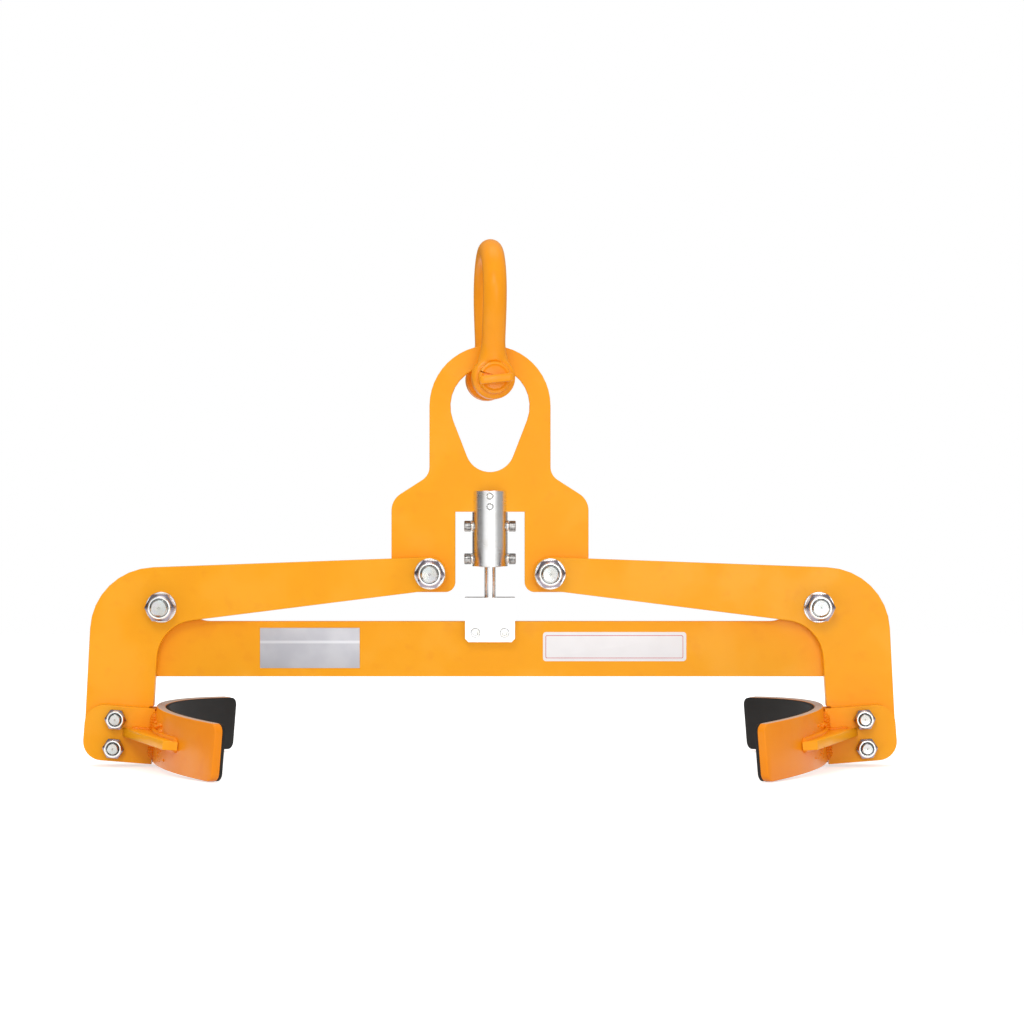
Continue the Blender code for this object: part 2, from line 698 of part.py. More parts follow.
def pear_outline(x, top_z):
    """Two circles joined by their common tangents, the wide one above."""
    touch = tangent_points(PEAR_TOP_RADIUS, PEAR_LOW_RADIUS, PEAR_SPAN)
    points = []
    steps = 18
    sweep_top = 2 * (math.pi - touch)
    for step in range(steps + 1):
        angle = -math.pi / 2 + touch + sweep_top * step / steps
        points.append((x + PEAR_TOP_RADIUS * math.cos(angle),
                       top_z + PEAR_TOP_RADIUS * math.sin(angle)))
    low_z = top_z - PEAR_SPAN
    for step in range(steps + 1):
        angle = -math.pi / 2 - touch + 2 * touch * step / steps
        points.append((x + PEAR_LOW_RADIUS * math.cos(angle),
                       low_z + PEAR_LOW_RADIUS * math.sin(angle)))
    return points


def lifter_outline():
    half = LIFTER_WIDTH / 2
    crown = LIFTER_EYE_RISE + half
    shoulder = LIFTER_SHOULDER_RISE
    foot = -LIFTER_FOOT_DROP
    right = [
        (LIFTER_SLOT_HALF, LIFTER_SLOT_RISE, 0.0),
        (LIFTER_SLOT_HALF, foot, LIFTER_FOOT_CORNER),
        (LIFTER_SHOULDER_HALF, foot, 0.0),
        (LIFTER_SHOULDER_HALF, shoulder, LIFTER_SHOULDER_FILLET),
        (half, shoulder + LIFTER_SHOULDER_DROP, LIFTER_WAIST_FILLET),
        (half, crown, half * 0.999),
    ]
    left = [(-x, z, radius) for x, z, radius in reversed(right)]
    return round_corners(right + left, 12)


def lifting_plate(lifter):
    outlines = [lifter_outline(), pear_outline(0.0, LIFTER_EYE_RISE)]
    for side in (LEFT, RIGHT):
        outlines.append(slot(side * INNER_PIN_X, 0.0, M16_HOLE / 2, PIN_SLOT_TRAVEL))
    for rise in SLEEVE_PIN_RISES:
        outlines.append(circle(0.0, LIFTER_SLOT_RISE + rise, SLEEVE_PIN / 2 + GAP, 12))
    plate("lifting_plate", outlines, BAR, lifter, PLATE_STEP)


def sleeve_top():
    return LIFTER_SLOT_RISE + SLEEVE_OVERLAP


def cam_screw_heights():
    upper = LIFTER_SLOT_RISE - CAM_SCREW_DEPTHS[0]
    lower = LIFTER_SLOT_RISE - CAM_SCREW_DEPTHS[1]
    return (("upper", upper), ("lower", lower))


def along_x(mesh, side, z):
    turn = Matrix.Rotation(side * math.pi / 2, 4, "Y")
    mesh.transform(Matrix.Translation((0.0, 0.0, z)) @ turn)
    return mesh


def sleeve(lifter):
    """A tube slotted at its top to straddle the plate, cross-drilled for pins and cam screws."""
    top = sleeve_top()
    bottom = top - SLEEVE_LENGTH
    tube = turned_mesh("sleeve", [(SLEEVE_BORE, bottom), (SLEEVE_RADIUS, bottom),
                                  (SLEEVE_RADIUS, top), (SLEEVE_BORE, top),
                                  (SLEEVE_BORE, bottom)], 32)
    wide = 2 * SLEEVE_RADIUS
    steps = [("DIFFERENCE", box_mesh("slot", (-wide, -BAR / 2 - GAP, LIFTER_SLOT_RISE - GAP),
                                     (wide, BAR / 2 + GAP, top + CUT)))]
    for rise in SLEEVE_PIN_RISES:
        steps.append(("DIFFERENCE", along_y(rod(-wide, wide, SLEEVE_PIN / 2 + GAP, 12), 0.0,
                                            LIFTER_SLOT_RISE + rise)))
    for _, height in cam_screw_heights():
        for side in (LEFT, RIGHT):
            hole = stepped_rod(SLEEVE_BORE / 2, SLEEVE_RADIUS - CAM_SEAT, wide,
                               CAM_SCREW / 2 + GAP, CAM_WASHER / 2 + GAP)
            steps.append(("DIFFERENCE", along_x(hole, side, height)))
    add_mesh("sleeve", combined("sleeve", tube, steps), STEEL, lifter, (0, PLATE_STEP, 0))


def sleeve_pins(lifter):
    reach = SLEEVE_RADIUS - SMALL_BEVEL
    for name, rise in zip(("lower", "upper"), SLEEVE_PIN_RISES):
        mesh = rod(-reach, reach, SLEEVE_PIN / 2, 12)
        place = (0, PLATE_STEP, LIFTER_SLOT_RISE + rise)
        add_mesh(f"sleeve_pin_{name}", mesh, ZINC, lifter, place, FACING_FRONT)


def cam_screws(lifter):
    """Socket screws through the sleeve's wall, whose tips work the cam head inside it."""
    top = CAM_SCREW_TOP
    head, shank = CAM_SCREW_HEAD / 2, CAM_SCREW / 2
    profile = [(0, CAM_SCREW_TIP), (shank, CAM_SCREW_TIP), (shank, CAM_SCREW_UNDER),
               (head, CAM_SCREW_UNDER), (head, top - SMALL_BEVEL), (head - SMALL_BEVEL, top),
               (0, top)]
    for place, height in cam_screw_heights():
        for side in (LEFT, RIGHT):
            name = f"{SIDE_NAMES[side]}_{place}"
            socket = hexagon_mesh("socket", 0.8 * CAM_SCREW, top - 0.5 * CAM_SCREW_HEAD_LENGTH,
                                  top + CUT)
            screw = combined("screw", turned_mesh("screw", profile, 16), [("DIFFERENCE", socket)])
            washer = plate_mesh("washer", [circle(0, 0, CAM_WASHER / 2, 16),
                                           circle(0, 0, CAM_SCREW / 2 + GAP, 16)],
                                CAM_WASHER_THICK)
            washer.transform(Matrix.Translation((0, 0, CAM_SCREW_SEAT + CAM_WASHER_THICK / 2)))
            at = (0, PLATE_STEP, height)
            turned = (0.0, side * math.pi / 2, 0.0)
            add_mesh(f"cam_screw_{name}", screw, BLACK_SCREW, lifter, at, turned)
            add_mesh(f"cam_washer_{name}", washer, ZINC, lifter, at, turned)


def index_rod(root, lifter_height):
    """The rod that turns in the saddle; its cam head lies between the two rows of screws."""
    base = beam_top() + GAP
    screw_top = lifter_height + cam_screw_heights()[1][1] + CAM_SCREW / 2
    head_low = screw_top + CAM_HEAD_CLEARANCE
    head_high = head_low + CAM_HEAD_HEIGHT
    shaft = turned_mesh("rod", [
        (0, base), (ROD_COLLAR_RADIUS, base), (ROD_COLLAR_RADIUS, base + ROD_COLLAR_LENGTH),
        (ROD_RADIUS, base + ROD_COLLAR_LENGTH), (ROD_RADIUS, head_high), (0, head_high),
    ], 20)
    half_width, half_length = CAM_HEAD_WIDTH / 2, CAM_HEAD_LENGTH / 2
    ramp, rise = CAM_RAMP_LENGTH, CAM_RAMP_RISE
    cam = [(-half_length, head_low + rise), (-half_length + ramp, head_low),
           (half_length, head_low), (half_length, head_high - rise),
           (half_length - ramp, head_high), (-half_length, head_high)]
    bar = plate_mesh("cam", [cam], 2 * half_width)
    bar.transform(Matrix.Rotation(math.pi / 2, 4, "Z") @ Matrix.Rotation(math.pi / 2, 4, "X"))
    mesh = combined("index_rod", shaft, [("UNION", bar)])
    add_mesh("index_rod", mesh, STEEL, root, (0, PLATE_STEP, 0))


def shackle_bow(shackle):
    """A bow in the local YZ plane: round wire from eye to eye, welded to two drilled eyes."""
    eye_y = SHACKLE_JAW / 2 + SHACKLE_EYE_THICK / 2
    wide = SHACKLE_BOW_WIDTH / 2
    crown = SHACKLE_HEIGHT - SHACKLE_WIRE / 2
    centre = crown - wide
    eye_top = SHACKLE_EYE / 2 - SHACKLE_ROOT
    path = []
    steps = 6
    for step in range(steps + 1):
        blend = step / steps
        ease = blend * blend * (3 - 2 * blend)
        path.append((eye_y + (wide - eye_y) * ease, eye_top + (centre - eye_top) * blend))
    arc = 16
    for step in range(1, arc):
        angle = math.pi * step / arc
        path.append((wide * math.cos(angle), centre + wide * math.sin(angle)))
    path += [(-y, z) for y, z in reversed(path[:steps + 1])]
    curve = bpy.data.curves.new("bow", "CURVE")
    curve.dimensions = "3D"
    curve.bevel_depth = SHACKLE_WIRE / 2
    curve.bevel_resolution = 3
    curve.use_fill_caps = True
    spline = curve.splines.new("POLY")
    spline.points.add(len(path) - 1)
    for point, (y, z) in zip(spline.points, path):
        point.co = (0.0, y, z, 1.0)
    guide = bpy.data.objects.new("bow_wire", curve)
    CUTTERS.objects.link(guide)
    bpy.context.view_layer.update()
    seen = guide.evaluated_get(bpy.context.evaluated_depsgraph_get())
    wire = bpy.data.meshes.new_from_object(seen)
    bpy.data.objects.remove(guide, do_unlink=True)
    weld(wire)
    steps = []
    for side in (LEFT, RIGHT):
        low, high = SHACKLE_JAW / 2, SHACKLE_JAW / 2 + SHACKLE_EYE_THICK
        radius = SHACKLE_EYE / 2
        eye = turned_mesh("eye", [(0, low), (radius, low), (radius, high - SHACKLE_EYE_BEVEL),
                                  (radius - SHACKLE_EYE_BEVEL, high), (0, high)], 24)
        steps.append(("UNION", facing_y(eye, side)))
    hole = SHACKLE_JAW / 2 + 2 * SHACKLE_EYE_THICK
    steps.append(("DIFFERENCE", facing_y(rod(-hole, hole, SHACKLE_PIN / 2 + GAP, 24), RIGHT)))
    add_mesh("shackle_bow", combined("shackle_bow", wire, steps), PAINT, shackle)


def facing_y(mesh, side):
    mesh.transform(Matrix.Rotation(-side * math.pi / 2, 4, "X"))
    return mesh


def shackle_pin(shackle):
    """The screw pin: its collar and flag are in front, and its end shows behind the rear eye."""
    outer = SHACKLE_JAW / 2 + SHACKLE_EYE_THICK
    seat = outer + GAP
    face = seat + SHACKLE_COLLAR_THICK
    pin, collar = SHACKLE_PIN / 2, SHACKLE_COLLAR / 2
    end = outer + SHACKLE_PIN_TAIL
    bevel = SHACKLE_PIN_BEVEL
    body = turned_mesh("pin", [(0, -end), (pin - bevel, -end), (pin, bevel - end), (pin, seat),
                               (collar, seat), (collar, face - CUT), (collar - CUT, face),
                               (0, face)], 24)
    half, tip = SHACKLE_FLAG_WIDTH / 2, face + SHACKLE_FLAG_LENGTH
    root = SHACKLE_FLAG_ROOT / 2
    flag = plate_mesh("flag", [round_corners([
        (-root, face - bevel, 0.0), (root, face - bevel, 0.0),
        (half, tip, SHACKLE_FLAG_CORNER), (-half, tip, SHACKLE_FLAG_CORNER)], 4)],
        SHACKLE_FLAG_THICK)
    flag.transform(Matrix.Rotation(SHACKLE_FLAG_TURN, 4, "Z")
                   @ Matrix.Rotation(math.pi / 2, 4, "X"))
    mesh = combined("shackle_pin", body, [("UNION", flag)])
    mesh.transform(Matrix.Rotation(math.pi / 2, 4, "X"))
    add_mesh("shackle_pin", mesh, PAINT, shackle)


def shackle_height():
    """The pin rests under the top of the pear-shaped hole."""
    return LIFTER_EYE_RISE + PEAR_TOP_RADIUS - SHACKLE_PIN / 2 - GAP


def lowest_point():
    bpy.context.view_layer.update()
    return min((item.matrix_world @ vert.co).z
               for item in PARTS.objects if item.type == "MESH"
               for vert in item.data.vertices)


def build():
    root = make_empty("lifter_frame", (0, 0, 0))
    cross_beam(root)
    saddle(root)
    for side in (LEFT, RIGHT):
        arm(side, root)
    height = inner_pin_height()
    lifter = make_empty("lifter_slide", (0, 0, height), root)
    lifting_plate(lifter)
    sleeve(lifter)
    sleeve_pins(lifter)
    cam_screws(lifter)
    index_rod(root, height)
    shackle = make_empty("shackle_hinge", (0, PLATE_STEP, shackle_height()), lifter,
                         yaw=SHACKLE_YAW)
    shackle_bow(shackle)
    shackle_pin(shackle)
    root.location.z = -lowest_point()
    bpy.context.view_layer.update()


build()
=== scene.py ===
"""Looks of the overhead drum lifter: powder coat, zinc, turned steel, rubber, welds and plates."""

import json
import math
import random

import bmesh
import bpy
from mathutils import Matrix, Vector


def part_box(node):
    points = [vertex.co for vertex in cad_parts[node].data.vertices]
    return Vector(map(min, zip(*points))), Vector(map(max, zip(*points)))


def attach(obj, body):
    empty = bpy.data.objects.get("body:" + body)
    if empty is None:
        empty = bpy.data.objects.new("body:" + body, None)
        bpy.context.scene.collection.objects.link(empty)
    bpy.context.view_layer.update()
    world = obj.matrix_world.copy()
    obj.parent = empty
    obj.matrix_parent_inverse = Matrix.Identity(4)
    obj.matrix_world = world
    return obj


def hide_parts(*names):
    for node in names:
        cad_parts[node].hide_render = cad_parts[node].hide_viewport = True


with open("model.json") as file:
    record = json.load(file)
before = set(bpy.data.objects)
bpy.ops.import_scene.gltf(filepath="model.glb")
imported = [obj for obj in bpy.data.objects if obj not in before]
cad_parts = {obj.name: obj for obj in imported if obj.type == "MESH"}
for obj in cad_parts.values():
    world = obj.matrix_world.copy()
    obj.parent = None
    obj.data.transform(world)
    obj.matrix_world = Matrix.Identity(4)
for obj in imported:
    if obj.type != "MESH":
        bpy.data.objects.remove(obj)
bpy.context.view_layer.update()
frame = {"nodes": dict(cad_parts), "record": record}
JOINTS = {joint["name"]: joint for joint in frame["record"]["behaviour"]["joints"]}

CAMERA_DISTANCE = 2.9
CAMERA_HEIGHT = 0.243
FOCAL_PIXELS = 3187
FRAME_PIXELS = 1024
CENTRE_PIXEL_X = 490
HORIZON_PIXEL_Y = 497
SENSOR = 36.0

OPEN_ANGLE = math.radians(4.5)
TOUCH = 0.0003
SHARP = 35.0
MANY_CORNERS = 9
SQUARE_ON = 0.9998
SIDES = {"left": -1, "right": 1}
FINE = 0.0002

M16 = {"flats": 0.024, "radius": 0.008, "pitch": 0.002, "nut": 0.013, "collar": 0.0103,
       "lip": 0.0084}
M10 = {"flats": 0.017, "radius": 0.005, "pitch": 0.0010, "nut": 0.008, "collar": 0.0078,
       "lip": 0.0062}
NUT_CHAMFER = math.radians(38)
BOLT_CHAMFER = math.radians(30)
M10_HEAD = 0.0064
M16_WASHER_BORE = 0.0085
CAM_WASHER_BORE = 0.0033

DRUM_RADIUS = 0.2860
LINING_THICK = 0.0030
PAD_THICK = 0.0080
PAD_ADVANCE = 0.0026
PAD_REACH = 0.1775
PAD_HEIGHT = 0.0500
PAD_RISE = 0.0033
PAD_CORNER = 0.0075
ROLL_STEPS = 56
FOOT_DROP = 0.1413
TAB_HEIGHT = 0.0500
TAB_THICK = 0.0100
BAR = 0.0120
PLATE_EDGE = 0.0006
SHOE_EDGE = 0.0007
SADDLE_EDGE = 0.0004
GUSSET_RISE = 0.0022
GUSSET_THICK = 0.0080
GUSSET_REACH = 0.1250
GUSSET_START = 0.0250
TAB_BEAD = 0.0052
GUSSET_BEADS = {1: 0.0034, -1: 0.0026}
SIDE_BEAD = 0.0020
BLOBS = 9
SPATTER = 14

SLEEVE_RADIUS = 0.0160
SLEEVE_BORE = 0.0110
SLEEVE_OVERLAP = 0.0192
SLEEVE_PIN = 0.0050
PIN_RECESS = 0.0012
PIN_MARK = 0.0010
SLEEVE_SIDES = 160
CUT_REACH = 0.03
CAM_SCREW = 0.0060
SCREW_SHANK = 0.003
CAM_SCREW_HEAD = 0.005
CAM_SCREW_SOCKET = 0.005
KNURLS = 24
SADDLE_SOCKET = 0.0042
SADDLE_HEAD = 0.005
CAM_SEAT = 0.0008
CAM_SEAT_RADIUS = 0.0058
ROD_RADIUS = 0.0050
ROD_COLLAR_RADIUS = 0.0085
ROD_COLLAR_LENGTH = 0.0070
CAM_HEAD_LENGTH = 0.0150
CAM_HEAD_WIDTH = 0.0090
CAM_HEAD_HEIGHT = 0.0130

SHACKLE_WIRE = 0.0215
SHACKLE_PIN = 0.0220
SHACKLE_JAW = 0.0320
SHACKLE_EYE = 0.0390
SHACKLE_EYE_THICK = 0.0180
SHACKLE_BOW_WIDTH = 0.0790
SHACKLE_HEIGHT = 0.1280
SHACKLE_COLLAR = 0.0290
SHACKLE_COLLAR_THICK = 0.0060
SHACKLE_FLAG_WIDTH = 0.0330
SHACKLE_FLAG_ROOT = 0.0240
SHACKLE_FLAG_LENGTH = 0.0140
SHACKLE_FLAG_THICK = 0.0072
SHACKLE_FLAG_TURN = math.radians(6)
FLAG_SINK = 0.0014
EYE_SWELL = 0.0034
LEG_STEPS = 18
CROWN_STEPS = 40
BOW_VOXEL = 0.0009
BOW_ROUNDS = 12
BOW_SHRINK = 0.994

STRIPE = (0.1098, 0.1129)


def middle(node):
    low, high = (Vector(corner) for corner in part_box(node))
    return (low + high) / 2


PLATE_Y = middle("lifting_plate").y


class Wire:
    """A value between shader nodes. Arithmetic on it adds Math nodes."""

    def __init__(self, graph, socket):
        self.graph = graph
        self.socket = socket

    def math(self, operation, *values):
        return self.graph.node("ShaderNodeMath", {"operation": operation}, *values)

    def __add__(self, other):
        return self.math("ADD", self, other)

    def __radd__(self, other):
        return self.math("ADD", other, self)

    def __sub__(self, other):
        return self.math("SUBTRACT", self, other)

    def __rsub__(self, other):
        return self.math("SUBTRACT", other, self)

    def __mul__(self, other):
        return self.math("MULTIPLY", self, other)

    def __rmul__(self, other):
        return self.math("MULTIPLY", other, self)

    def clamp(self):
        return self.graph.node("ShaderNodeClamp", {}, self)

    def step(self, low, high):
        """Rises smoothly from 0 to 1 between the two values."""
        return self.graph.node("ShaderNodeMapRange", {"interpolation_type": "SMOOTHSTEP"},
                               self, low, high)


class Graph:
    """A tree of shader nodes, with one method that adds any node."""

    def __init__(self, tree):
        self.tree = tree

    def node(self, kind, settings, *values, out=0, **named):
        made = self.tree.nodes.new(kind)
        for key, value in settings.items():
            setattr(made, key, value)
        sockets = [socket for socket in made.inputs if socket.enabled]
        for socket, value in zip(sockets, values):
            self.feed(socket, value)
        for key, value in named.items():
            self.feed(made.inputs[key.replace("_", " ")], value)
        outputs = [socket for socket in made.outputs if socket.enabled]
        return Wire(self, made.outputs[out] if isinstance(out, str) else outputs[out])

    def feed(self, socket, value):
        if isinstance(value, Wire):
            self.tree.links.new(value.socket, socket)
        elif value is not None:
            socket.default_value = value

    def mix(self, factor, first, second):
        made = self.tree.nodes.new("ShaderNodeMix")
        made.data_type = "RGBA"
        self.feed(made.inputs[0], factor)
        self.feed(made.inputs[6], first)
        self.feed(made.inputs[7], second)
        return Wire(self, made.outputs[2])

    def part(self, vector, axis):
        return self.node("ShaderNodeSeparateXYZ", {}, vector, out=axis)

    def ray(self, name):
        return self.node("ShaderNodeLightPath", {}, out=name)

    def straight(self):
        """1 for what the camera sees directly or through something clear."""
        return (self.ray("Is Camera Ray") + self.ray("Is Transmission Ray")).clamp()


class Finish(Graph):
    """A material under construction."""

    def __init__(self, name):
        self.material = bpy.data.materials.new(name)
        self.material.use_nodes = True
        super().__init__(self.material.node_tree)
        self.shader = self.tree.nodes["Principled BSDF"]

    def place(self):
        return self.node("ShaderNodeTexCoord", {}, out="Object")

    def noise(self, scale, detail=2.0, roughness=0.5, at=None):
        return self.node("ShaderNodeTexNoise", {}, Vector=at or self.place(), Scale=scale,
                         Detail=detail, Roughness=roughness)

    def stretched(self, scale):
        """Object coordinates stretched along an axis, for marks that run one way."""
        return self.node("ShaderNodeMapping", {"vector_type": "POINT"}, Vector=self.place(),
                         Scale=scale)

    def bump(self, height, depth, strength=1.0):
        return self.node("ShaderNodeBump", {}, Strength=strength, Distance=depth, Height=height)

    def surface(self, **values):
        for key, value in values.items():
            self.feed(self.shader.inputs[key.replace("_", " ")], value)
        return self.material


def shade(level, tint=(1.0, 1.0, 1.0)):
    return (level * tint[0], level * tint[1], level * tint[2], 1.0)


BLACK = (0.0, 0.0, 0.0, 1.0)
WHITE = (1.0, 1.0, 1.0, 1.0)
ORANGE = (0.95, 0.372, 0.004, 1.0)
# Painted shade: a deeper copy of the orange for the low-lying pads and their welds, where less
# light falls.
SHADED_PAD_ORANGE = (0.90, 0.262, 0.003, 1.0)
# Painted shade: a deeper copy of the orange for the shackle, matched to its shaded sides.
SHADED_SHACKLE_ORANGE = (0.92, 0.318, 0.004, 1.0)
# Painted highlight: the pale colour laid on the pads' top rims.
PALE_RIM_HIGHLIGHT = (0.62, 0.47, 0.38, 1.0)


def toned(colour, red, green):
    return (min(1.0, colour[0] * red), colour[1] * green, colour[2], 1.0)


def powder_coat(name, orange, lumps=1.0, rims=False):
    """Glossy orange powder coat: orange peel, soft pooling and a slightly uneven gloss.

    The pads' top rims get a pale painted highlight, broken up by the pooling noise, where the
    mesh's rim attribute says so.
    """
    paint = Finish(name)
    peel = paint.noise(420.0, 2.0, 0.5)
    swell = paint.noise(70.0, 2.0, 0.4)
    pooling = paint.noise(16.0, 3.0, 0.55)
    specks = paint.noise(1400.0, 0.0).step(0.74, 0.80)
    colour = paint.mix(pooling.step(0.30, 0.72), orange, toned(orange, 1.03, 1.09))
    colour = paint.mix(swell.step(0.58, 0.80) * 0.35, colour, toned(orange, 0.94, 0.84))
    if rims:
        rim = paint.node("ShaderNodeAttribute", {"attribute_name": "rim"}, out="Fac")
        # Painted highlight: the top rim is mixed towards a pale colour, patchy with the pooling
        # noise.
        rim_highlight = (rim * 0.75 + pooling * 0.5).step(0.62, 0.98)
        colour = paint.mix(rim_highlight, colour, PALE_RIM_HIGHLIGHT)
    rough = 0.27 + pooling * 0.14 + specks * 0.10
    height = peel * 0.5 + swell * 1.3 * lumps + specks * 0.2
    return paint.surface(Base_Color=colour, Roughness=rough, Specular_IOR_Level=0.22,
                         Coat_Weight=pooling.step(0.46, 0.64) * 0.25, Coat_Roughness=0.16,
                         Normal=paint.bump(height, 0.00022 * lumps, 0.55))


def zinc(name, level, tint):
    """Bright zinc plate with faint bluish, straw-coloured and violet clouds, and painted shade on
    a nut's hex facets.
    """
    metal = Finish(name)
    cloud = metal.noise(160.0, 3.0, 0.6)
    film = metal.noise(95.0, 2.0, 0.5, at=metal.stretched((1.0, 1.3, 0.8)))
    scratch = metal.noise(1.0, 2.0, 0.6, at=metal.stretched((900.0, 180.0, 2400.0)))
    colour = metal.mix(cloud.step(0.35, 0.65), shade(level, tint),
                       shade(level * 0.92, (1.02, 1.0, 0.93)))
    colour = metal.mix(film.step(0.56, 0.72) * 0.4, colour, shade(level, (0.93, 0.86, 1.0)))
    # Painted shade: where the mesh marks a nut's hex facets, the zinc is darkened and tinted
    # violet to stand for the dark surroundings they reflect.
    facet = metal.node("ShaderNodeAttribute", {"attribute_name": "facet"}, out="Fac")
    colour = metal.mix(facet, colour, shade(level * 0.42, (0.96, 0.86, 1.0)))
    rough = 0.15 + cloud * 0.14 + scratch * 0.08
    return metal.surface(Base_Color=colour, Roughness=rough, Metallic=1.0,
                         Normal=metal.bump(scratch + cloud * 0.6, 0.00004, 0.5))


def turned_steel():
    """Bright steel with fine tool marks round it and a few handling scratches."""
    metal = Finish("turned_steel")
    tool = metal.noise(1.0, 2.0, 0.7, at=metal.stretched((40.0, 40.0, 5200.0)))
    streak = metal.noise(1.0, 3.0, 0.6, at=metal.stretched((60.0, 60.0, 900.0)))
    stain = metal.noise(90.0, 3.0, 0.6)
    colour = metal.mix(stain.step(0.45, 0.75), shade(0.88), shade(0.78, (1.02, 1.0, 0.97)))
    rough = 0.20 + streak * 0.08 + stain * 0.04
    return metal.surface(Base_Color=colour, Roughness=rough, Metallic=1.0,
                         Normal=metal.bump(tool + streak * 0.4, 0.00002, 0.25))


def milled_aluminium():
    """Bright milled aluminium with straight cutter marks across it."""
    metal = Finish("milled_aluminium")
    marks = metal.noise(1.0, 2.0, 0.6, at=metal.stretched((60.0, 900.0, 2600.0)))
    cloud = metal.noise(60.0, 2.0, 0.5)
    colour = metal.mix(cloud.step(0.3, 0.7), shade(0.92), shade(0.87))
    return metal.surface(Base_Color=colour, Roughness=0.26 + marks * 0.16, Metallic=1.0,
                         Normal=metal.bump(marks, 0.00004, 0.5))


def worn_oxide():
    """Black oxide on the cam screws, rubbed through to grey steel in streaks."""
    metal = Finish("worn_oxide")
    wear = metal.noise(500.0, 3.0, 0.6)
    rub = metal.noise(1.0, 3.0, 0.6, at=metal.stretched((90.0, 700.0, 700.0)))
    colour = metal.mix((wear * 0.5 + rub * 0.6).step(0.42, 0.66), shade(0.10),
                       shade(0.46, (1.0, 0.98, 0.95)))
    return metal.surface(Base_Color=colour, Roughness=0.24 + wear * 0.2, Metallic=1.0,
                         Normal=metal.bump(wear, 0.00003, 0.5))


def rubber():
    """Matt black rubber sheet: fine grain, soft dusty clouds and faint rub marks."""
    sheet = Finish("black_rubber")
    grain = sheet.noise(1500.0, 2.0, 0.6)
    dust = sheet.noise(26.0, 4.0, 0.6)
    rub = sheet.noise(1.0, 2.0, 0.6, at=sheet.stretched((30.0, 30.0, 260.0)))
    colour = sheet.mix(dust.step(0.35, 0.75) * 0.8, shade(0.011, (1.05, 1.0, 0.96)),
                       shade(0.022, (1.0, 1.0, 1.04)))
    return sheet.surface(Base_Color=colour, Roughness=0.60 + dust * 0.16 + rub * 0.05,
                         Specular_IOR_Level=0.3,
                         Normal=sheet.bump(grain + rub * 0.5, 0.00006, 0.6))


def nylon():
    """The nuts' locking rings: dark blue-grey nylon, smeared a little by the thread."""
    ring = Finish("nylon_ring")
    cloud = ring.noise(700.0, 2.0, 0.5)
    colour = ring.mix(cloud, (0.035, 0.050, 0.060, 1.0), (0.075, 0.095, 0.105, 1.0))
    return ring.surface(Base_Color=colour, Roughness=0.42 + cloud * 0.1,
                        Normal=ring.bump(cloud, 0.00003, 0.5))


def satin_plate(low_z, high_z):
    """The bare rating plate: anodised sheet, brushed along its length, with one pale stripe."""
    sheet = Finish("satin_plate")
    brush = sheet.noise(1.0, 2.0, 0.6, at=sheet.stretched((25.0, 300.0, 3200.0)))
    cloud = sheet.noise(45.0, 2.0, 0.5)
    height = sheet.part(sheet.place(), "Z")
    ease = 0.0006
    stripe = height.step(low_z, low_z + ease) * (1 - height.step(high_z - ease, high_z))
    colour = sheet.mix(cloud.step(0.3, 0.7), (0.46, 0.46, 0.50, 1.0), (0.52, 0.52, 0.55, 1.0))
    colour = sheet.mix(stripe * 0.8, colour, (0.68, 0.68, 0.71, 1.0))
    return sheet.surface(Base_Color=colour, Roughness=0.34 + brush * 0.16, Metallic=0.35,
                         Normal=sheet.bump(brush, 0.00002, 0.5))


def vinyl(name, colour):
    """Self-adhesive film with a faint wave where it was rubbed down."""
    film = Finish(name)
    wave = film.noise(60.0, 2.0, 0.5)
    tint = film.mix(wave.step(0.35, 0.70) * 0.5, colour,
                    tuple(0.95 * part for part in colour[:3]) + (1.0,))
    return film.surface(Base_Color=tint, Roughness=0.30 + wave * 0.08, Specular_IOR_Level=0.3,
                        Normal=film.bump(wave, 0.0001, 0.3))


PAINT = powder_coat("powder_coat", ORANGE)
# The pads and welds take the deeper, shaded copy of the orange: painted shade.
SHADED_PAD_PAINT = powder_coat("shaded_pad_powder_coat", SHADED_PAD_ORANGE, rims=True)
# The shackle's paint takes the deeper, shaded copy of the orange: painted shade.
SHADED_SHACKLE_PAINT = powder_coat("shaded_shackle_paint", SHADED_SHACKLE_ORANGE, lumps=1.5)
SHADED_WELD_PAINT = powder_coat("shaded_weld_paint", SHADED_PAD_ORANGE, lumps=1.8)
ZINC = zinc("zinc_plate", 0.84, (0.98, 0.99, 1.01))
BOLT_ZINC = zinc("bolt_zinc", 0.58, (0.93, 1.0, 1.0))
STEEL = turned_steel()
ALUMINIUM = milled_aluminium()
OXIDE = worn_oxide()
RUBBER = rubber()
NYLON = nylon()


def finished(name, body, material, rides, stands_for=(), smooth=SHARP):
    """A piece from a bmesh: normals, material, its body and the CAD node it stands for."""
    bmesh.ops.remove_doubles(body, verts=body.verts, dist=1e-7)
    bmesh.ops.recalc_face_normals(body, faces=body.faces)
    mesh = bpy.data.meshes.new(name)
    body.to_mesh(mesh)
    body.free()
    mesh.materials.append(material)
    mesh.shade_smooth()
    for face in mesh.polygons:
        face.use_smooth = face.loop_total < MANY_CORNERS
    mesh.set_sharp_from_angle(angle=math.radians(smooth))
    piece = bpy.data.objects.new(name, mesh)
    bpy.context.scene.collection.objects.link(piece)
    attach(piece, rides)
    if stands_for:
        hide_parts(*stands_for)
    return piece


def body_of(node):
    for name, nodes in frame["record"]["behaviour"]["bodies"].items():
        if node in nodes:
            return name


def cad_copy(node):
    """The CAD node's mesh as a merged bmesh, with flat faces joined up again."""
    body = bmesh.new()
    body.from_mesh(frame["nodes"][node].data)
    bmesh.ops.remove_doubles(body, verts=body.verts, dist=2e-6)
    bmesh.ops.dissolve_limit(body, angle_limit=math.radians(0.5), verts=body.verts,
                             edges=body.edges)
    return body


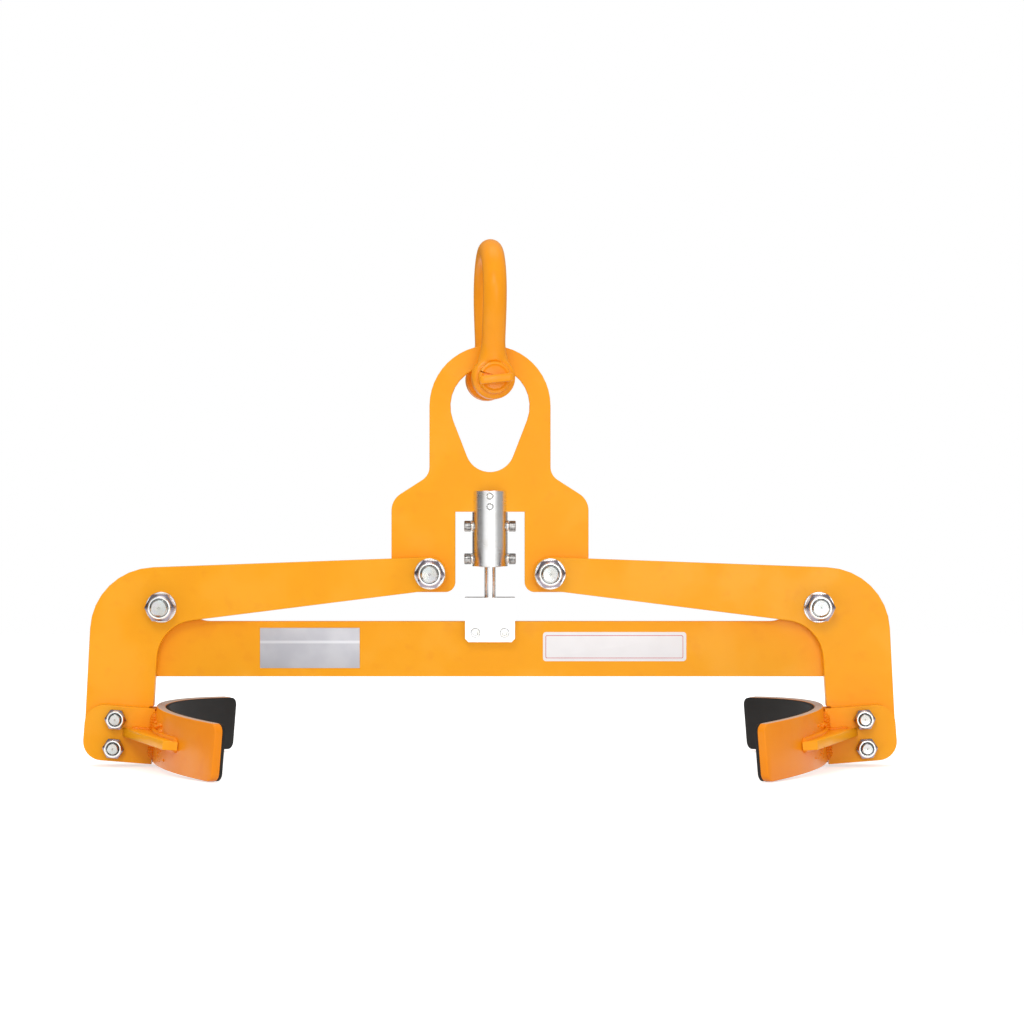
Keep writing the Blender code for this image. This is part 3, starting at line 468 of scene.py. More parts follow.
def ease_edges(body, edges, width, segments):
    bmesh.ops.bevel(body, geom=edges, offset=width, offset_type="OFFSET", segments=segments,
                    profile=0.5, affect="EDGES", material=-1, clamp_overlap=True,
                    loop_slide=True)


def flatten(piece, square_on):
    """Plain shading for the faces that stand square to an axis."""
    for face in piece.data.polygons:
        if square_on(face.normal) > SQUARE_ON:
            face.use_smooth = False


def eased(node, material, width, segments=2):
    """The CAD node again with its edges eased, as sawn and cut steel has them."""
    body = cad_copy(node)
    ease_edges(body, [edge for edge in body.edges if len(edge.link_faces) == 2
                      and edge.calc_face_angle() > math.radians(SHARP)], width, segments)
    flatten(finished(node + "_eased", body, material, body_of(node), [node]),
            lambda normal: max(abs(part) for part in normal))


def eased_plate(node, material, width, segments=2):
    """A plate cut square through along Y, drawn again from its outline with rounded edges."""
    plate = cad_copy(node)
    front = min(vert.co.y for vert in plate.verts)
    back = max(vert.co.y for vert in plate.verts)
    rims = {}
    for edge in plate.edges:
        walls = [face.normal.copy() for face in edge.link_faces if abs(face.normal.y) < 0.5]
        if len(walls) == 1 and max(vert.co.y for vert in edge.verts) < front + TOUCH / 3:
            rims[edge] = walls[0]
    body = bmesh.new()
    columns = {}
    for vert in dict.fromkeys(vert for edge in rims for vert in edge.verts):
        first, second = [rims[edge] for edge in vert.link_edges if edge in rims]
        inwards = -(first + second) / (1 + first.dot(second))
        turns = [math.pi / 2 * step / segments for step in range(segments, -1, -1)]
        column = [(front + width * (1 - math.sin(turn)), width * (1 - math.cos(turn)))
                  for turn in turns]
        column += [(back - width * (1 - math.sin(turn)), width * (1 - math.cos(turn)))
                   for turn in reversed(turns)]
        columns[vert] = [body.verts.new((vert.co.x + inwards.x * inset, y,
                                         vert.co.z + inwards.z * inset)) for y, inset in column]
    for edge in rims:
        here, there = (columns[vert] for vert in edge.verts)
        for step in range(len(here) - 1):
            body.faces.new((here[step], here[step + 1], there[step + 1], there[step]))
    for end in (0, -1):
        outline = [body.edges.get((columns[edge.verts[0]][end], columns[edge.verts[1]][end]))
                   for edge in rims]
        bmesh.ops.triangle_fill(body, use_beauty=True, use_dissolve=False, edges=outline)
    plate.free()
    flatten(finished(node + "_eased", body, material, body_of(node), [node]),
            lambda normal: abs(normal.y))


def loft(body, rings, count, place=Matrix()):
    """Rings joined one after another. Each is a function of the angle that gives a point."""
    angles = [2 * math.pi * step / count for step in range(count)]

    def points(ring):
        return [place @ Vector(ring(angle)) for angle in angles]

    first = [body.verts.new(point) for point in points(rings[0])]
    start = [body.edges.new((first[step], first[(step + 1) % count])) for step in range(count)]
    edges = start
    for ring in rings[1:]:
        grown = bmesh.ops.extrude_edge_only(body, edges=edges)["geom"]
        verts = [item for item in grown if isinstance(item, bmesh.types.BMVert)]
        edges = [item for item in grown if isinstance(item, bmesh.types.BMEdge)
                 and all(vert in verts for vert in item.verts)]
        for vert, point in zip(verts, points(ring)):
            vert.co = point
    return start, edges


def close(body, ends):
    for edges in ends:
        bmesh.ops.contextual_create(body, geom=edges)


def round_ring(radius, height):
    return lambda angle: (radius * math.cos(angle), radius * math.sin(angle), height)


def hex_radius(flats, angle):
    sixth = math.pi / 3
    return flats / 2 / math.cos((angle + sixth / 2) % sixth - sixth / 2)


def hex_ring(flats, height, crown=None, slope=0.0):
    """A hexagon whose points past the crown circle drop, as a chamfered nut's corners do."""
    def ring(angle):
        radius = hex_radius(flats, angle + math.pi / 6)
        drop = max(0.0, radius - crown) * slope if crown else 0.0
        return radius * math.cos(angle), radius * math.sin(angle), height + drop
    return ring


def thread_rings(low, high, radius, pitch, steps=6):
    """Rings that follow a helical thread from one height to another."""
    depth = 0.54 * pitch
    count = max(2, round((high - low) / pitch * steps))

    def ring_at(height):
        def ring(angle):
            phase = (height / pitch - angle / (2 * math.pi)) % 1.0
            groove = 1.0 - abs(2.0 * phase - 1.0)
            here = radius - depth * min(1.0, max(0.0, groove * 1.3 - 0.15))
            return here * math.cos(angle), here * math.sin(angle), height
        return ring

    return [ring_at(low + (high - low) * step / count) for step in range(count + 1)]


def temporary(body):
    mesh = bpy.data.meshes.new("temporary")
    body.to_mesh(mesh)
    body.free()
    item = bpy.data.objects.new("temporary", mesh)
    bpy.context.scene.collection.objects.link(item)
    return item


def with_modifiers(item, tools=()):
    """The object's mesh with its modifiers applied, as a bmesh; the objects used are removed."""
    bpy.context.view_layer.update()
    seen = item.evaluated_get(bpy.context.evaluated_depsgraph_get())
    body = bmesh.new()
    body.from_mesh(seen.to_mesh())
    seen.to_mesh_clear()
    for used in (item, *tools):
        bpy.data.objects.remove(used, do_unlink=True)
    return body


def cut(body, cutters):
    """The body with each cutter's volume taken out."""
    target = temporary(body)
    tools = [temporary(cutter) for cutter in cutters]
    for tool in tools:
        modifier = target.modifiers.new("cut", "BOOLEAN")
        modifier.operation = "DIFFERENCE"
        modifier.solver = "EXACT"
        modifier.object = tool
    return with_modifiers(target, tools)


def blended(body, voxel, rounds):
    """Overlapping closed forms made one skin, with soft fillets where they met."""
    item = temporary(body)
    skin = item.modifiers.new("skin", "REMESH")
    skin.mode = "VOXEL"
    skin.voxel_size = voxel
    soft = item.modifiers.new("soft", "SMOOTH")
    soft.factor = 0.5
    soft.iterations = rounds
    return with_modifiers(item)


def box(low, high):
    body = bmesh.new()
    low, high = Vector(low), Vector(high)
    size = high - low
    matrix = Matrix.Translation((low + high) / 2) @ Matrix.Diagonal((*size, 1.0))
    bmesh.ops.create_cube(body, size=1.0, matrix=matrix)
    return body


def bar(radius, low, high, place, segments=64):
    """A round bar along its own Z axis from one height to another."""
    body = bmesh.new()
    matrix = place @ Matrix.Translation((0.0, 0.0, (low + high) / 2))
    bmesh.ops.create_cone(body, cap_ends=True, segments=segments, radius1=radius,
                          radius2=radius, depth=high - low, matrix=matrix)
    return body


def facing_front(x, y, z):
    """Turns +Z to the front, -Y, and moves the origin to the given place."""
    return Matrix.Translation((x, y, z)) @ Matrix.Rotation(math.pi / 2, 4, "X")


def tilt_of(rides):
    """How far an arm's own fasteners are turned with it in the open pose."""
    angle = {"left_arm": -OPEN_ANGLE, "right_arm": OPEN_ANGLE}.get(rides, 0.0)
    return Matrix.Rotation(angle, 4, "Z")


def nyloc_nut(node, size, place, rides):
    """Chamfered hex nut whose rolled, rounded collar holds a nylon ring."""
    low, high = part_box(node)
    top = high[1] - low[1]
    flats, bore, height = size["flats"], size["radius"], size["nut"]
    collar_radius, lip = size["collar"], size["lip"]
    crown = collar_radius + 0.0004
    slope = math.tan(NUT_CHAMFER)
    roll = 0.25 * (collar_radius - lip)
    turns = 6
    rings = [round_ring(bore + 0.0006, 0.0), round_ring(crown, 0.0),
             hex_ring(flats, 0.0, crown, slope), hex_ring(flats, height, crown, -slope),
             round_ring(crown, height), round_ring(collar_radius, height + 0.0005),
             round_ring(collar_radius, top - 2.4 * roll)]
    for step in range(1, turns + 1):
        turn = math.pi / 2 * step / turns
        rings.append(round_ring(collar_radius - 2.0 * roll * (1 - math.cos(turn)),
                                top - 2.4 * roll * (1 - math.sin(turn))))
    rings += [round_ring(lip + 0.4 * roll, top), round_ring(lip, top - 0.0005),
              round_ring(lip, top - 0.0014), round_ring(bore + 0.0006, top - 0.0015),
              round_ring(bore + 0.0006, 0.0)]
    body = bmesh.new()
    loft(body, rings, 72, place)
    # The hex facets, outside the collar, are marked for the zinc's painted shade.
    facet = body.verts.layers.float.new("facet")
    for vert in body.verts:
        if (place.inverted() @ vert.co).xy.length > collar_radius + FINE:
            vert[facet] = 1.0
    finished(node + "_turned", body, ZINC, rides, [node], 28.0)
    ring_body = bmesh.new()
    loft(ring_body, [
        round_ring(bore + FINE, top - 0.0030), round_ring(lip - FINE, top - 0.0030),
        round_ring(lip - FINE, top - 0.0012), round_ring(lip - 0.0006, top - 0.0008),
        round_ring(bore + 0.0004, top - 0.0008), round_ring(bore + FINE, top - 0.0011),
        round_ring(bore + FINE, top - 0.0030)], 48, place)
    finished(node + "_nylon", ring_body, NYLON, rides)


def hex_bolt(node, size, head, length, place, rides):
    """Hex bolt: washer face, chamfered head, plain shank and a cut thread up to its end."""
    flats, radius, pitch = size["flats"], size["radius"], size["pitch"]
    crown = 0.475 * flats
    slope = math.tan(BOLT_CHAMFER)
    thread_from = length - 2.2 * radius
    chamfer = 0.75 * pitch
    rings = [round_ring(crown * 0.55, -head), round_ring(crown - 0.0003, -head),
             round_ring(crown, 0.0001 - head), hex_ring(flats, -head, crown, slope),
             hex_ring(flats, -0.0005), round_ring(crown * 0.985, -0.0004),
             round_ring(crown * 0.98, 0.0), round_ring(radius, 0.0),
             round_ring(radius, thread_from)]
    rings += thread_rings(thread_from, length - chamfer, radius, pitch)
    end = radius - 0.72 * pitch
    rings += [round_ring(end + FINE, length - FINE), round_ring(end, length),
              round_ring(end * 0.5, length - 0.00012), round_ring(radius * 0.14, length - FINE),
              round_ring(radius * 0.05, length - 0.0009)]
    body = bmesh.new()
    close(body, loft(body, rings, 72, place))
    finished(node + "_threaded", body, BOLT_ZINC, rides, [node], 28.0)


def flat_washer(node, outer, inner, thick, place, rides):
    ease = 0.0004
    rings = [round_ring(inner, 0.0), round_ring(outer - ease, 0.0), round_ring(outer, ease),
             round_ring(outer, thick - ease), round_ring(outer - ease, thick),
             round_ring(inner + ease, thick), round_ring(inner, thick - ease),
             round_ring(inner, 0.0)]
    body = bmesh.new()
    loft(body, rings, 72, place)
    finished(node + "_pressed", body, ZINC, rides, [node])


def pivot_fasteners(prefix):
    """M16 pivot: bolt from the rear, washers both sides and a nyloc nut in front."""
    rides = body_of(prefix + "_bolt")
    centre = middle(prefix + "_front_washer")
    x, z = centre.x, centre.z
    nut_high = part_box(prefix + "_nut")[1]
    bolt_low, bolt_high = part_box(prefix + "_bolt")
    head_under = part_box(prefix + "_rear_washer")[1][1] + TOUCH
    tilt = tilt_of(rides)
    nyloc_nut(prefix + "_nut", M16, facing_front(x, nut_high[1], z) @ tilt, rides)
    hex_bolt(prefix + "_bolt", M16, bolt_high[1] - head_under, head_under - bolt_low[1],
             facing_front(x, head_under, z) @ tilt, rides)
    for side in ("front", "rear"):
        node = f"{prefix}_{side}_washer"
        low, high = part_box(node)
        flat_washer(node, (high[0] - low[0]) / 2, M16_WASHER_BORE, high[1] - low[1],
                    facing_front(x, high[1], z), rides)


def pad_fasteners(prefix):
    rides = prefix + "_arm"
    tilt = tilt_of(rides)
    for place in ("upper", "lower"):
        bolt, nut = f"{prefix}_{place}_pad_bolt", f"{prefix}_{place}_pad_nut"
        centre = middle(nut)
        x, z = centre.x, centre.z
        bolt_low, bolt_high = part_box(bolt)
        nyloc_nut(nut, M10, facing_front(x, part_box(nut)[1][1], z) @ tilt, rides)
        hex_bolt(bolt, M10, M10_HEAD, bolt_high[1] - M10_HEAD - bolt_low[1],
                 facing_front(x, bolt_high[1] - M10_HEAD, z) @ tilt, rides)


def socket_screw(node, head, socket, head_length, length, knurls, place, material):
    """Cap screw along +Z with its head's top at z = 0: knurled rim, eased crown, hex socket."""
    ease = 0.0006

    def knurled(height):
        def ring(angle):
            here = head * (1.0 - 0.03 * (0.5 + 0.5 * math.cos(knurls * angle)))
            return here * math.cos(angle), here * math.sin(angle), height
        return ring

    rings = [hex_ring(socket, -0.5 * head_length), hex_ring(socket, -0.0003),
             round_ring(socket * 0.62, 0.0), round_ring(head - ease, 0.0),
             round_ring(head - 0.2 * ease, -0.5 * ease), knurled(-ease),
             knurled(0.4 * ease - head_length), round_ring(head - 0.5 * ease, -head_length),
             round_ring(SCREW_SHANK, -head_length), round_ring(SCREW_SHANK, -length)]
    body = bmesh.new()
    close(body, loft(body, rings, 96, place))
    finished(node + "_socket", body, material, body_of(node), [node], 30.0)


def cam_screws():
    for prefix, side in SIDES.items():
        for place in ("upper", "lower"):
            node = f"cam_screw_{prefix}_{place}"
            low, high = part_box(node)
            centre = middle(node)
            turn = Matrix.Rotation(side * math.pi / 2, 4, "Y")
            outer = high[0] if side > 0 else low[0]
            where = Matrix.Translation((outer, centre.y, centre.z)) @ turn
            socket_screw(node, CAM_SCREW_HEAD, CAM_SCREW_SOCKET, CAM_SCREW, high[0] - low[0],
                         KNURLS, where, OXIDE)
            washer = f"cam_washer_{prefix}_{place}"
            low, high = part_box(washer)
            inner = low[0] if side > 0 else high[0]
            where = Matrix.Translation((inner, centre.y, centre.z)) @ turn
            flat_washer(washer, (high[2] - low[2]) / 2, CAM_WASHER_BORE, high[0] - low[0],
                        where, "lifter")


def saddle_screws():
    for prefix in SIDES:
        node = "saddle_screw_" + prefix
        low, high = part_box(node)
        centre = middle(node)
        socket_screw(node, (high[0] - low[0]) / 2, SADDLE_SOCKET, SADDLE_HEAD, high[1] - low[1],
                     0, facing_front(centre.x, low[1], centre.z), ZINC)


def painted_plates():
    for node in ("cross_beam", "lifting_plate", "left_arm_plate", "right_arm_plate"):
        eased_plate(node, PAINT, PLATE_EDGE)
    for prefix in SIDES:
        for part in ("shoe_front_tab", "shoe_rear_tab", "front_gusset", "rear_gusset"):
            eased(f"{prefix}_{part}", PAINT, SHOE_EDGE)


def arm_frame(prefix):
    """An arm's own frame in the open pose, with its origin on the outer pivot."""
    pivot = Vector(JOINTS[prefix + "_arm_swing"]["pos_m"])
    turn = Matrix.Rotation(-SIDES[prefix] * OPEN_ANGLE, 4, "Y")
    return Matrix.Translation(pivot) @ turn


def pad_outer_radius():
    return DRUM_RADIUS + LINING_THICK + TOUCH + PAD_THICK


def pad_axis(prefix):
    """The drum's axis, measured inboard from the outer pivot."""
    return abs(JOINTS[prefix + "_arm_swing"]["pos_m"][0]) + PAD_ADVANCE


def rolled(prefix, part, material, inner, outer, inset, ease):
    """A sheet with rounded corners and eased rims, rolled to the drum's radius."""
    side = SIDES[prefix]
    half = (inner + outer) / 2
    low = PAD_RISE - FOOT_DROP + inset
    high = low + PAD_HEIGHT - 2 * inset
    start = inset - half * math.asin((PAD_REACH + PLATE_Y) / pad_outer_radius())
    end = half * math.asin((PAD_REACH - PLATE_Y) / pad_outer_radius()) - inset
    thick = (outer - inner) / 2
    body = box((start, low, -thick), (end, high, thick))
    ease_edges(body, [edge for edge in body.edges
                      if abs(edge.verts[0].co.z - edge.verts[1].co.z) > thick],
               PAD_CORNER - inset, 8)
    ease_edges(body, [edge for edge in body.edges if edge.calc_face_angle() > 1.0], ease, 3)
    for step in range(1, ROLL_STEPS):
        along = start + (end - start) * step / ROLL_STEPS
        bmesh.ops.bisect_plane(body, geom=body.verts[:] + body.edges[:] + body.faces[:],
                               dist=1e-7, plane_co=(along, 0.0, 0.0), plane_no=(1.0, 0.0, 0.0))
    rim = body.verts.layers.float.new("rim")
    for vert in body.verts:
        along, height, depth = vert.co
        # The top rim is marked for the pale painted highlight in the pad paint.
        vert[rim] = 1.0 if height > high - ease / 4 else 0.0
        radius = half - side * depth
        angle = along / half
        vert.co = (side * (radius * math.cos(angle) - pad_axis(prefix)),
                   PLATE_Y + radius * math.sin(angle), height)
    bmesh.ops.transform(body, matrix=arm_frame(prefix), verts=body.verts)
    node = f"{prefix}_{part}"
    finished(node + "_rolled", body, material, prefix + "_arm", [node])


def pads(prefix):
    outer = pad_outer_radius()
    rolled(prefix, "pad_plate", SHADED_PAD_PAINT, outer - PAD_THICK, outer, 0.0, 0.0010)
    rolled(prefix, "rubber_lining", RUBBER, DRUM_RADIUS,
           DRUM_RADIUS + LINING_THICK, TOUCH, 0.0006)


def bead(body, path, length, radius, ripple=0.0024):
    """A weld bead along a path, swollen a little at each ripple and rounded off at its ends."""
    count = max(12, round(length / ripple * 5))

    def ring_at(share):
        here = path(share)
        ahead = (path(min(1.0, share + 0.01)) - path(max(0.0, share - 0.01))).normalized()
        across = ahead.orthogonal().normalized()
        up = ahead.cross(across)
        from_end = min(share, 1.0 - share) * length / radius
        swell = 0.86 + 0.14 * abs(math.sin(math.pi * share * length / ripple))
        size = radius * swell * math.sqrt(min(1.0, max(0.02, from_end)))
        return lambda angle: here + (across * math.cos(angle) + up * math.sin(angle)) * size

    close(body, loft(body, [ring_at(step / count) for step in range(count + 1)], 12))


def blob(body, place, radius, flat):
    matrix = Matrix.Translation(place) @ Matrix.Diagonal((1.0, 1.0, flat, 1.0))
    bmesh.ops.create_icosphere(body, subdivisions=2, radius=radius, matrix=matrix)


def shoe_welds(prefix):
    """Fillet welds that hold tabs, gussets and pad plate together, with some spatter."""
    side = SIDES[prefix]
    chance = random.Random(11 + side)
    outer, axis = pad_outer_radius(), pad_axis(prefix)
    gusset_middle = GUSSET_RISE - FOOT_DROP + TAB_HEIGHT / 2
    tab_face = BAR / 2 + TOUCH + TAB_THICK
    body = bmesh.new()

    def on_pad(y, z):
        return Vector((side * (math.sqrt(outer ** 2 - (y - PLATE_Y) ** 2) - axis), y, z))

    for facing in (-1, 1):
        near, far = facing * tab_face, facing * (GUSSET_REACH - 0.003)
        low, high = 0.004 - FOOT_DROP, TAB_HEIGHT - 0.002 - FOOT_DROP
        bead(body, lambda share: on_pad(near, low + (high - low) * share), high - low, TAB_BEAD)
        for level, radius in GUSSET_BEADS.items():
            z = gusset_middle + level * GUSSET_THICK / 2
            bead(body, lambda share: on_pad(near + (far - near) * share, z), abs(far - near),
                 radius, 0.0030)
            root = on_pad(near, z)
            start = Vector((side * (GUSSET_START - 0.008), near, z))
            bead(body, lambda share: start.lerp(root, share), (root - start).length, SIDE_BEAD)
        for _ in range(BLOBS):
            y = facing * chance.uniform(0.022, 0.075)
            z = gusset_middle + chance.uniform(0.0075, 0.0135)
            blob(body, on_pad(y, z), chance.uniform(0.0014, 0.0032), chance.uniform(0.7, 1.2))
        for _ in range(SPATTER):
            y = facing * chance.uniform(0.03, 0.12)
            z = gusset_middle + chance.choice((-1, 1)) * chance.uniform(0.008, 0.019)
            blob(body, on_pad(y, z), chance.uniform(0.0006, 0.0013), 1.0)
    bmesh.ops.transform(body, matrix=arm_frame(prefix), verts=body.verts)
    finished(prefix + "_shoe_welds", body, SHADED_WELD_PAINT, prefix + "_arm")


def sleeve():
    """The latch sleeve: a turned tube with the plate's slot, pin holes and screw seats."""
    low, high = (Vector(corner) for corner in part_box("sleeve"))
    bottom, top, ease = low.z, high.z, 0.0005
    upright = Matrix.Translation((0.0, PLATE_Y, 0.0))
    body = bmesh.new()
    loft(body, [round_ring(SLEEVE_BORE, bottom + ease), round_ring(SLEEVE_BORE + ease, bottom),
                round_ring(SLEEVE_RADIUS - ease, bottom), round_ring(SLEEVE_RADIUS, bottom + ease),
                round_ring(SLEEVE_RADIUS, top - ease), round_ring(SLEEVE_RADIUS - ease, top),
                round_ring(SLEEVE_BORE + ease, top), round_ring(SLEEVE_BORE, top - ease),
                round_ring(SLEEVE_BORE, bottom + ease)], SLEEVE_SIDES, upright)
    bmesh.ops.remove_doubles(body, verts=body.verts, dist=1e-7)
    bmesh.ops.recalc_face_normals(body, faces=body.faces)
    slot_half = BAR / 2 + TOUCH
    cutters = [box((-CUT_REACH, PLATE_Y - slot_half, top - SLEEVE_OVERLAP - TOUCH),
                   (CUT_REACH, PLATE_Y + slot_half, top + 0.01))]
    for place in ("lower", "upper"):
        height = middle("sleeve_pin_" + place).z
        across = facing_front(0.0, PLATE_Y, height)
        tight, wide = SLEEVE_PIN / 2 + TOUCH, SLEEVE_PIN / 2 + PIN_MARK
        step = SLEEVE_RADIUS - PIN_RECESS
        pin_hole = bmesh.new()
        close(pin_hole, loft(pin_hole, [
            round_ring(wide, -CUT_REACH), round_ring(wide, -step), round_ring(tight, -step),
            round_ring(tight, step), round_ring(wide, step), round_ring(wide, CUT_REACH)], 40,
            across))
        bmesh.ops.remove_doubles(pin_hole, verts=pin_hole.verts, dist=1e-7)
        bmesh.ops.recalc_face_normals(pin_hole, faces=pin_hole.faces)
        cutters.append(pin_hole)
        height = middle("cam_screw_left_" + place).z
        for side in SIDES.values():
            turn = (Matrix.Translation((0.0, PLATE_Y, height))
                    @ Matrix.Rotation(side * math.pi / 2, 4, "Y"))
            cutters.append(bar(CAM_SCREW / 2 + TOUCH, SLEEVE_BORE / 2, CUT_REACH, turn, 40))
            cutters.append(bar(CAM_SEAT_RADIUS, SLEEVE_RADIUS - CAM_SEAT, CUT_REACH, turn))
    finished("sleeve_tube", cut(body, cutters), STEEL, "lifter", ["sleeve"], 30.0)


def sleeve_pins():
    """The sleeve's cross pins, each in the seat that its hole makes at both ends, with a thin dark
    ring of painted shade laid in each seat.
    """
    for place in ("lower", "upper"):
        node = "sleeve_pin_" + place
        low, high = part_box(node)
        half, ease = (high[1] - low[1]) / 2, 0.0005
        centre = middle(node)
        body = bmesh.new()
        radius = SLEEVE_PIN / 2
        close(body, loft(body, [
            round_ring(radius - ease, -half), round_ring(radius, ease - half),
            round_ring(radius, half - ease), round_ring(radius - ease, half)], 40,
            facing_front(centre.x, centre.y, centre.z)))
        finished(node + "_ground", body, ZINC, "lifter", [node])
        # Painted shade: a thin dark ring in dark oxide, laid in each seat round the pin for the
        # shadow in the gap.
        inside, outside = radius + 0.0001, radius + PIN_MARK - 0.0001
        base = SLEEVE_RADIUS - PIN_RECESS
        seats = bmesh.new()
        for low, high in ((base, base + TOUCH), (-base - TOUCH, -base)):
            loft(seats, [round_ring(inside, low), round_ring(outside, low),
                         round_ring(outside, high), round_ring(inside, high),
                         round_ring(inside, low)], 40, facing_front(0.0, PLATE_Y, centre.z))
        finished(node + "_seat", seats, OXIDE, "lifter")


def index_rod():
    """The rod that turns in the saddle, with its collar and the cam head inside the sleeve."""
    low, high = (Vector(corner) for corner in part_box("index_rod"))
    ease = 0.0004
    head_low = high.z - CAM_HEAD_HEIGHT
    body = box((-CAM_HEAD_WIDTH / 2, PLATE_Y - CAM_HEAD_LENGTH / 2, head_low),
               (CAM_HEAD_WIDTH / 2, PLATE_Y + CAM_HEAD_LENGTH / 2, high.z - FINE))
    ease_edges(body, body.edges[:], 0.0008, 3)
    step = low.z + ROD_COLLAR_LENGTH
    close(body, loft(body, [
        round_ring(ROD_COLLAR_RADIUS - ease, low.z), round_ring(ROD_COLLAR_RADIUS, low.z + ease),
        round_ring(ROD_COLLAR_RADIUS, step - ease), round_ring(ROD_COLLAR_RADIUS - ease, step),
        round_ring(ROD_RADIUS, step), round_ring(ROD_RADIUS, high.z - ease),
        round_ring(ROD_RADIUS - ease, high.z)], 64, Matrix.Translation((0.0, PLATE_Y, 0.0))))
    finished("index_rod_turned", body, STEEL, "index_rod", ["index_rod"])


def shackle_frame():
    """The shackle's own frame: its origin on the pin's axis, its Y axis along the pin."""
    joint = JOINTS["shackle_swing"]
    yaw = math.atan2(-joint["axis"][0], joint["axis"][1])
    return Matrix.Translation(joint["pos_m"]) @ Matrix.Rotation(yaw, 4, "Z")


def bow_path():
    """The bow's centre line as (y, z, swell) points, from the front eye to the rear one."""
    eye_y = (SHACKLE_JAW + SHACKLE_EYE_THICK) / 2
    wide = SHACKLE_BOW_WIDTH / 2
    centre = SHACKLE_HEIGHT - SHACKLE_WIRE / 2 - wide
    root = SHACKLE_EYE / 2 - 0.004
    leg = []
    for step in range(LEG_STEPS + 1):
        share = step / LEG_STEPS
        bend = share * share * (3 - 2 * share)
        swell = EYE_SWELL * max(0.0, 1 - 3.2 * share) ** 2
        leg.append((-eye_y + (eye_y - wide) * bend, root + (centre - root) * share, swell))
    crown = []
    for step in range(1, CROWN_STEPS):
        angle = math.pi * (1 - step / CROWN_STEPS)
        crown.append((wide * math.cos(angle), centre + wide * math.sin(angle), 0.0))
    return leg + crown + [(-y, z, swell) for y, z, swell in reversed(leg)]


def shackle_bow():
    """Forged bow: round limb that swells into two drilled eyes."""
    path = bow_path()
    half = SHACKLE_WIRE / 2
    rings = []
    for index, (y, z, swell) in enumerate(path):
        before, after = path[max(0, index - 1)], path[min(len(path) - 1, index + 1)]
        ahead = Vector((0.0, after[0] - before[0], after[1] - before[1])).normalized()
        outward = Vector((0.0, -ahead.z, ahead.y))
        centre = Vector((0.0, y, z))
        rings.append(lambda angle, centre=centre, outward=outward, swell=swell:
                     centre + Vector((1.0, 0.0, 0.0)) * (half + swell) * math.cos(angle)
                     + outward * half * math.sin(angle))
    body = bmesh.new()
    close(body, loft(body, rings, 32))
    hole, radius, soft = SHACKLE_PIN / 2 + TOUCH, SHACKLE_EYE / 2, 0.0030
    near, far = SHACKLE_JAW / 2, SHACKLE_JAW / 2 + SHACKLE_EYE_THICK
    for side in (-1, 1):
        loft(body, [round_ring(hole, near), round_ring(radius - 0.001, near),
                    round_ring(radius, near + 0.001), round_ring(radius, far - soft),
                    round_ring(radius - 0.3 * soft, far - 0.3 * soft),
                    round_ring(radius - soft, far), round_ring(hole, far),
                    round_ring(hole, near)], 64, Matrix.Rotation(-side * math.pi / 2, 4, "X"))
    bmesh.ops.remove_doubles(body, verts=body.verts, dist=1e-7)
    bmesh.ops.recalc_face_normals(body, faces=body.faces)
    body = blended(body, BOW_VOXEL, BOW_ROUNDS)
    bmesh.ops.scale(body, vec=(1.0, 1.0, BOW_SHRINK), verts=body.verts)
    bmesh.ops.transform(body, matrix=shackle_frame(), verts=body.verts)
    finished("shackle_bow_forged", body, SHADED_SHACKLE_PAINT, "shackle",
             ["shackle_bow"], 60.0)


def shackle_pin():
    """Screw pin: shank, collar with a raised rim and a turned wing to tighten it by."""
    outer = SHACKLE_JAW / 2 + SHACKLE_EYE_THICK
    seat = outer + TOUCH
    face = seat + SHACKLE_COLLAR_THICK
    pin, collar = SHACKLE_PIN / 2, SHACKLE_COLLAR / 2
    tail = outer + 0.004
    place = shackle_frame() @ Matrix.Rotation(math.pi / 2, 4, "X")
    length, thick = SHACKLE_FLAG_LENGTH, SHACKLE_FLAG_THICK / 2
    tip, root = SHACKLE_FLAG_WIDTH / 2, SHACKLE_FLAG_ROOT / 2
    body = box((-tip, -thick - FLAG_SINK, face - 0.003), (tip, thick - FLAG_SINK, face + length))
    for vert in body.verts:
        if vert.co.z < face:
            vert.co.x *= root / tip
    ease_edges(body, [edge for edge in body.edges if min(vert.co.z for vert in edge.verts) > face
                      and abs(edge.verts[0].co.y - edge.verts[1].co.y) > thick], 0.005, 6)
    ease_edges(body, [edge for edge in body.edges if edge.calc_face_angle() > 1.0], 0.0014, 3)
    bmesh.ops.rotate(body, cent=(0.0, 0.0, 0.0), verts=body.verts,
                     matrix=Matrix.Rotation(SHACKLE_FLAG_TURN, 3, "Z"))
    close(body, loft(body, [
        round_ring(pin - 0.002, -tail), round_ring(pin, 0.002 - tail), round_ring(pin, seat),
        round_ring(collar - 0.0008, seat), round_ring(collar, seat + 0.0008),
        round_ring(collar, face - 0.0016), round_ring(collar - 0.0005, face - 0.0005),
        round_ring(collar - 0.0016, face), round_ring(collar - 0.0024, face),
        round_ring(collar - 0.0034, face - 0.0007), round_ring(collar - 0.0045, face - 0.0009),
        round_ring(0.002, face - 0.0006)], 72))
    bmesh.ops.transform(body, matrix=place, verts=body.verts)
    finished("shackle_pin_forged", body, SHADED_SHACKLE_PAINT, "shackle",
             ["shackle_pin"], 40.0)


def sheet_label(name, material, low, high, front, thick, corner):
    """A thin plate or film on the beam's front face."""
    body = box((low[0], front - thick, low[1]), (high[0], front, high[1]))
    if corner:
        ease_edges(body, [edge for edge in body.edges
                          if abs(edge.verts[0].co.y - edge.verts[1].co.y) > thick / 2], corner, 6)
    rim = [edge for edge in body.edges if edge.calc_face_angle() > 0.5
           and all(vert.co.y < front - thick * 0.9 for vert in edge.verts)]
    ease_edges(body, rim, thick * 0.3, 2)
    finished(name, body, material, "beam")


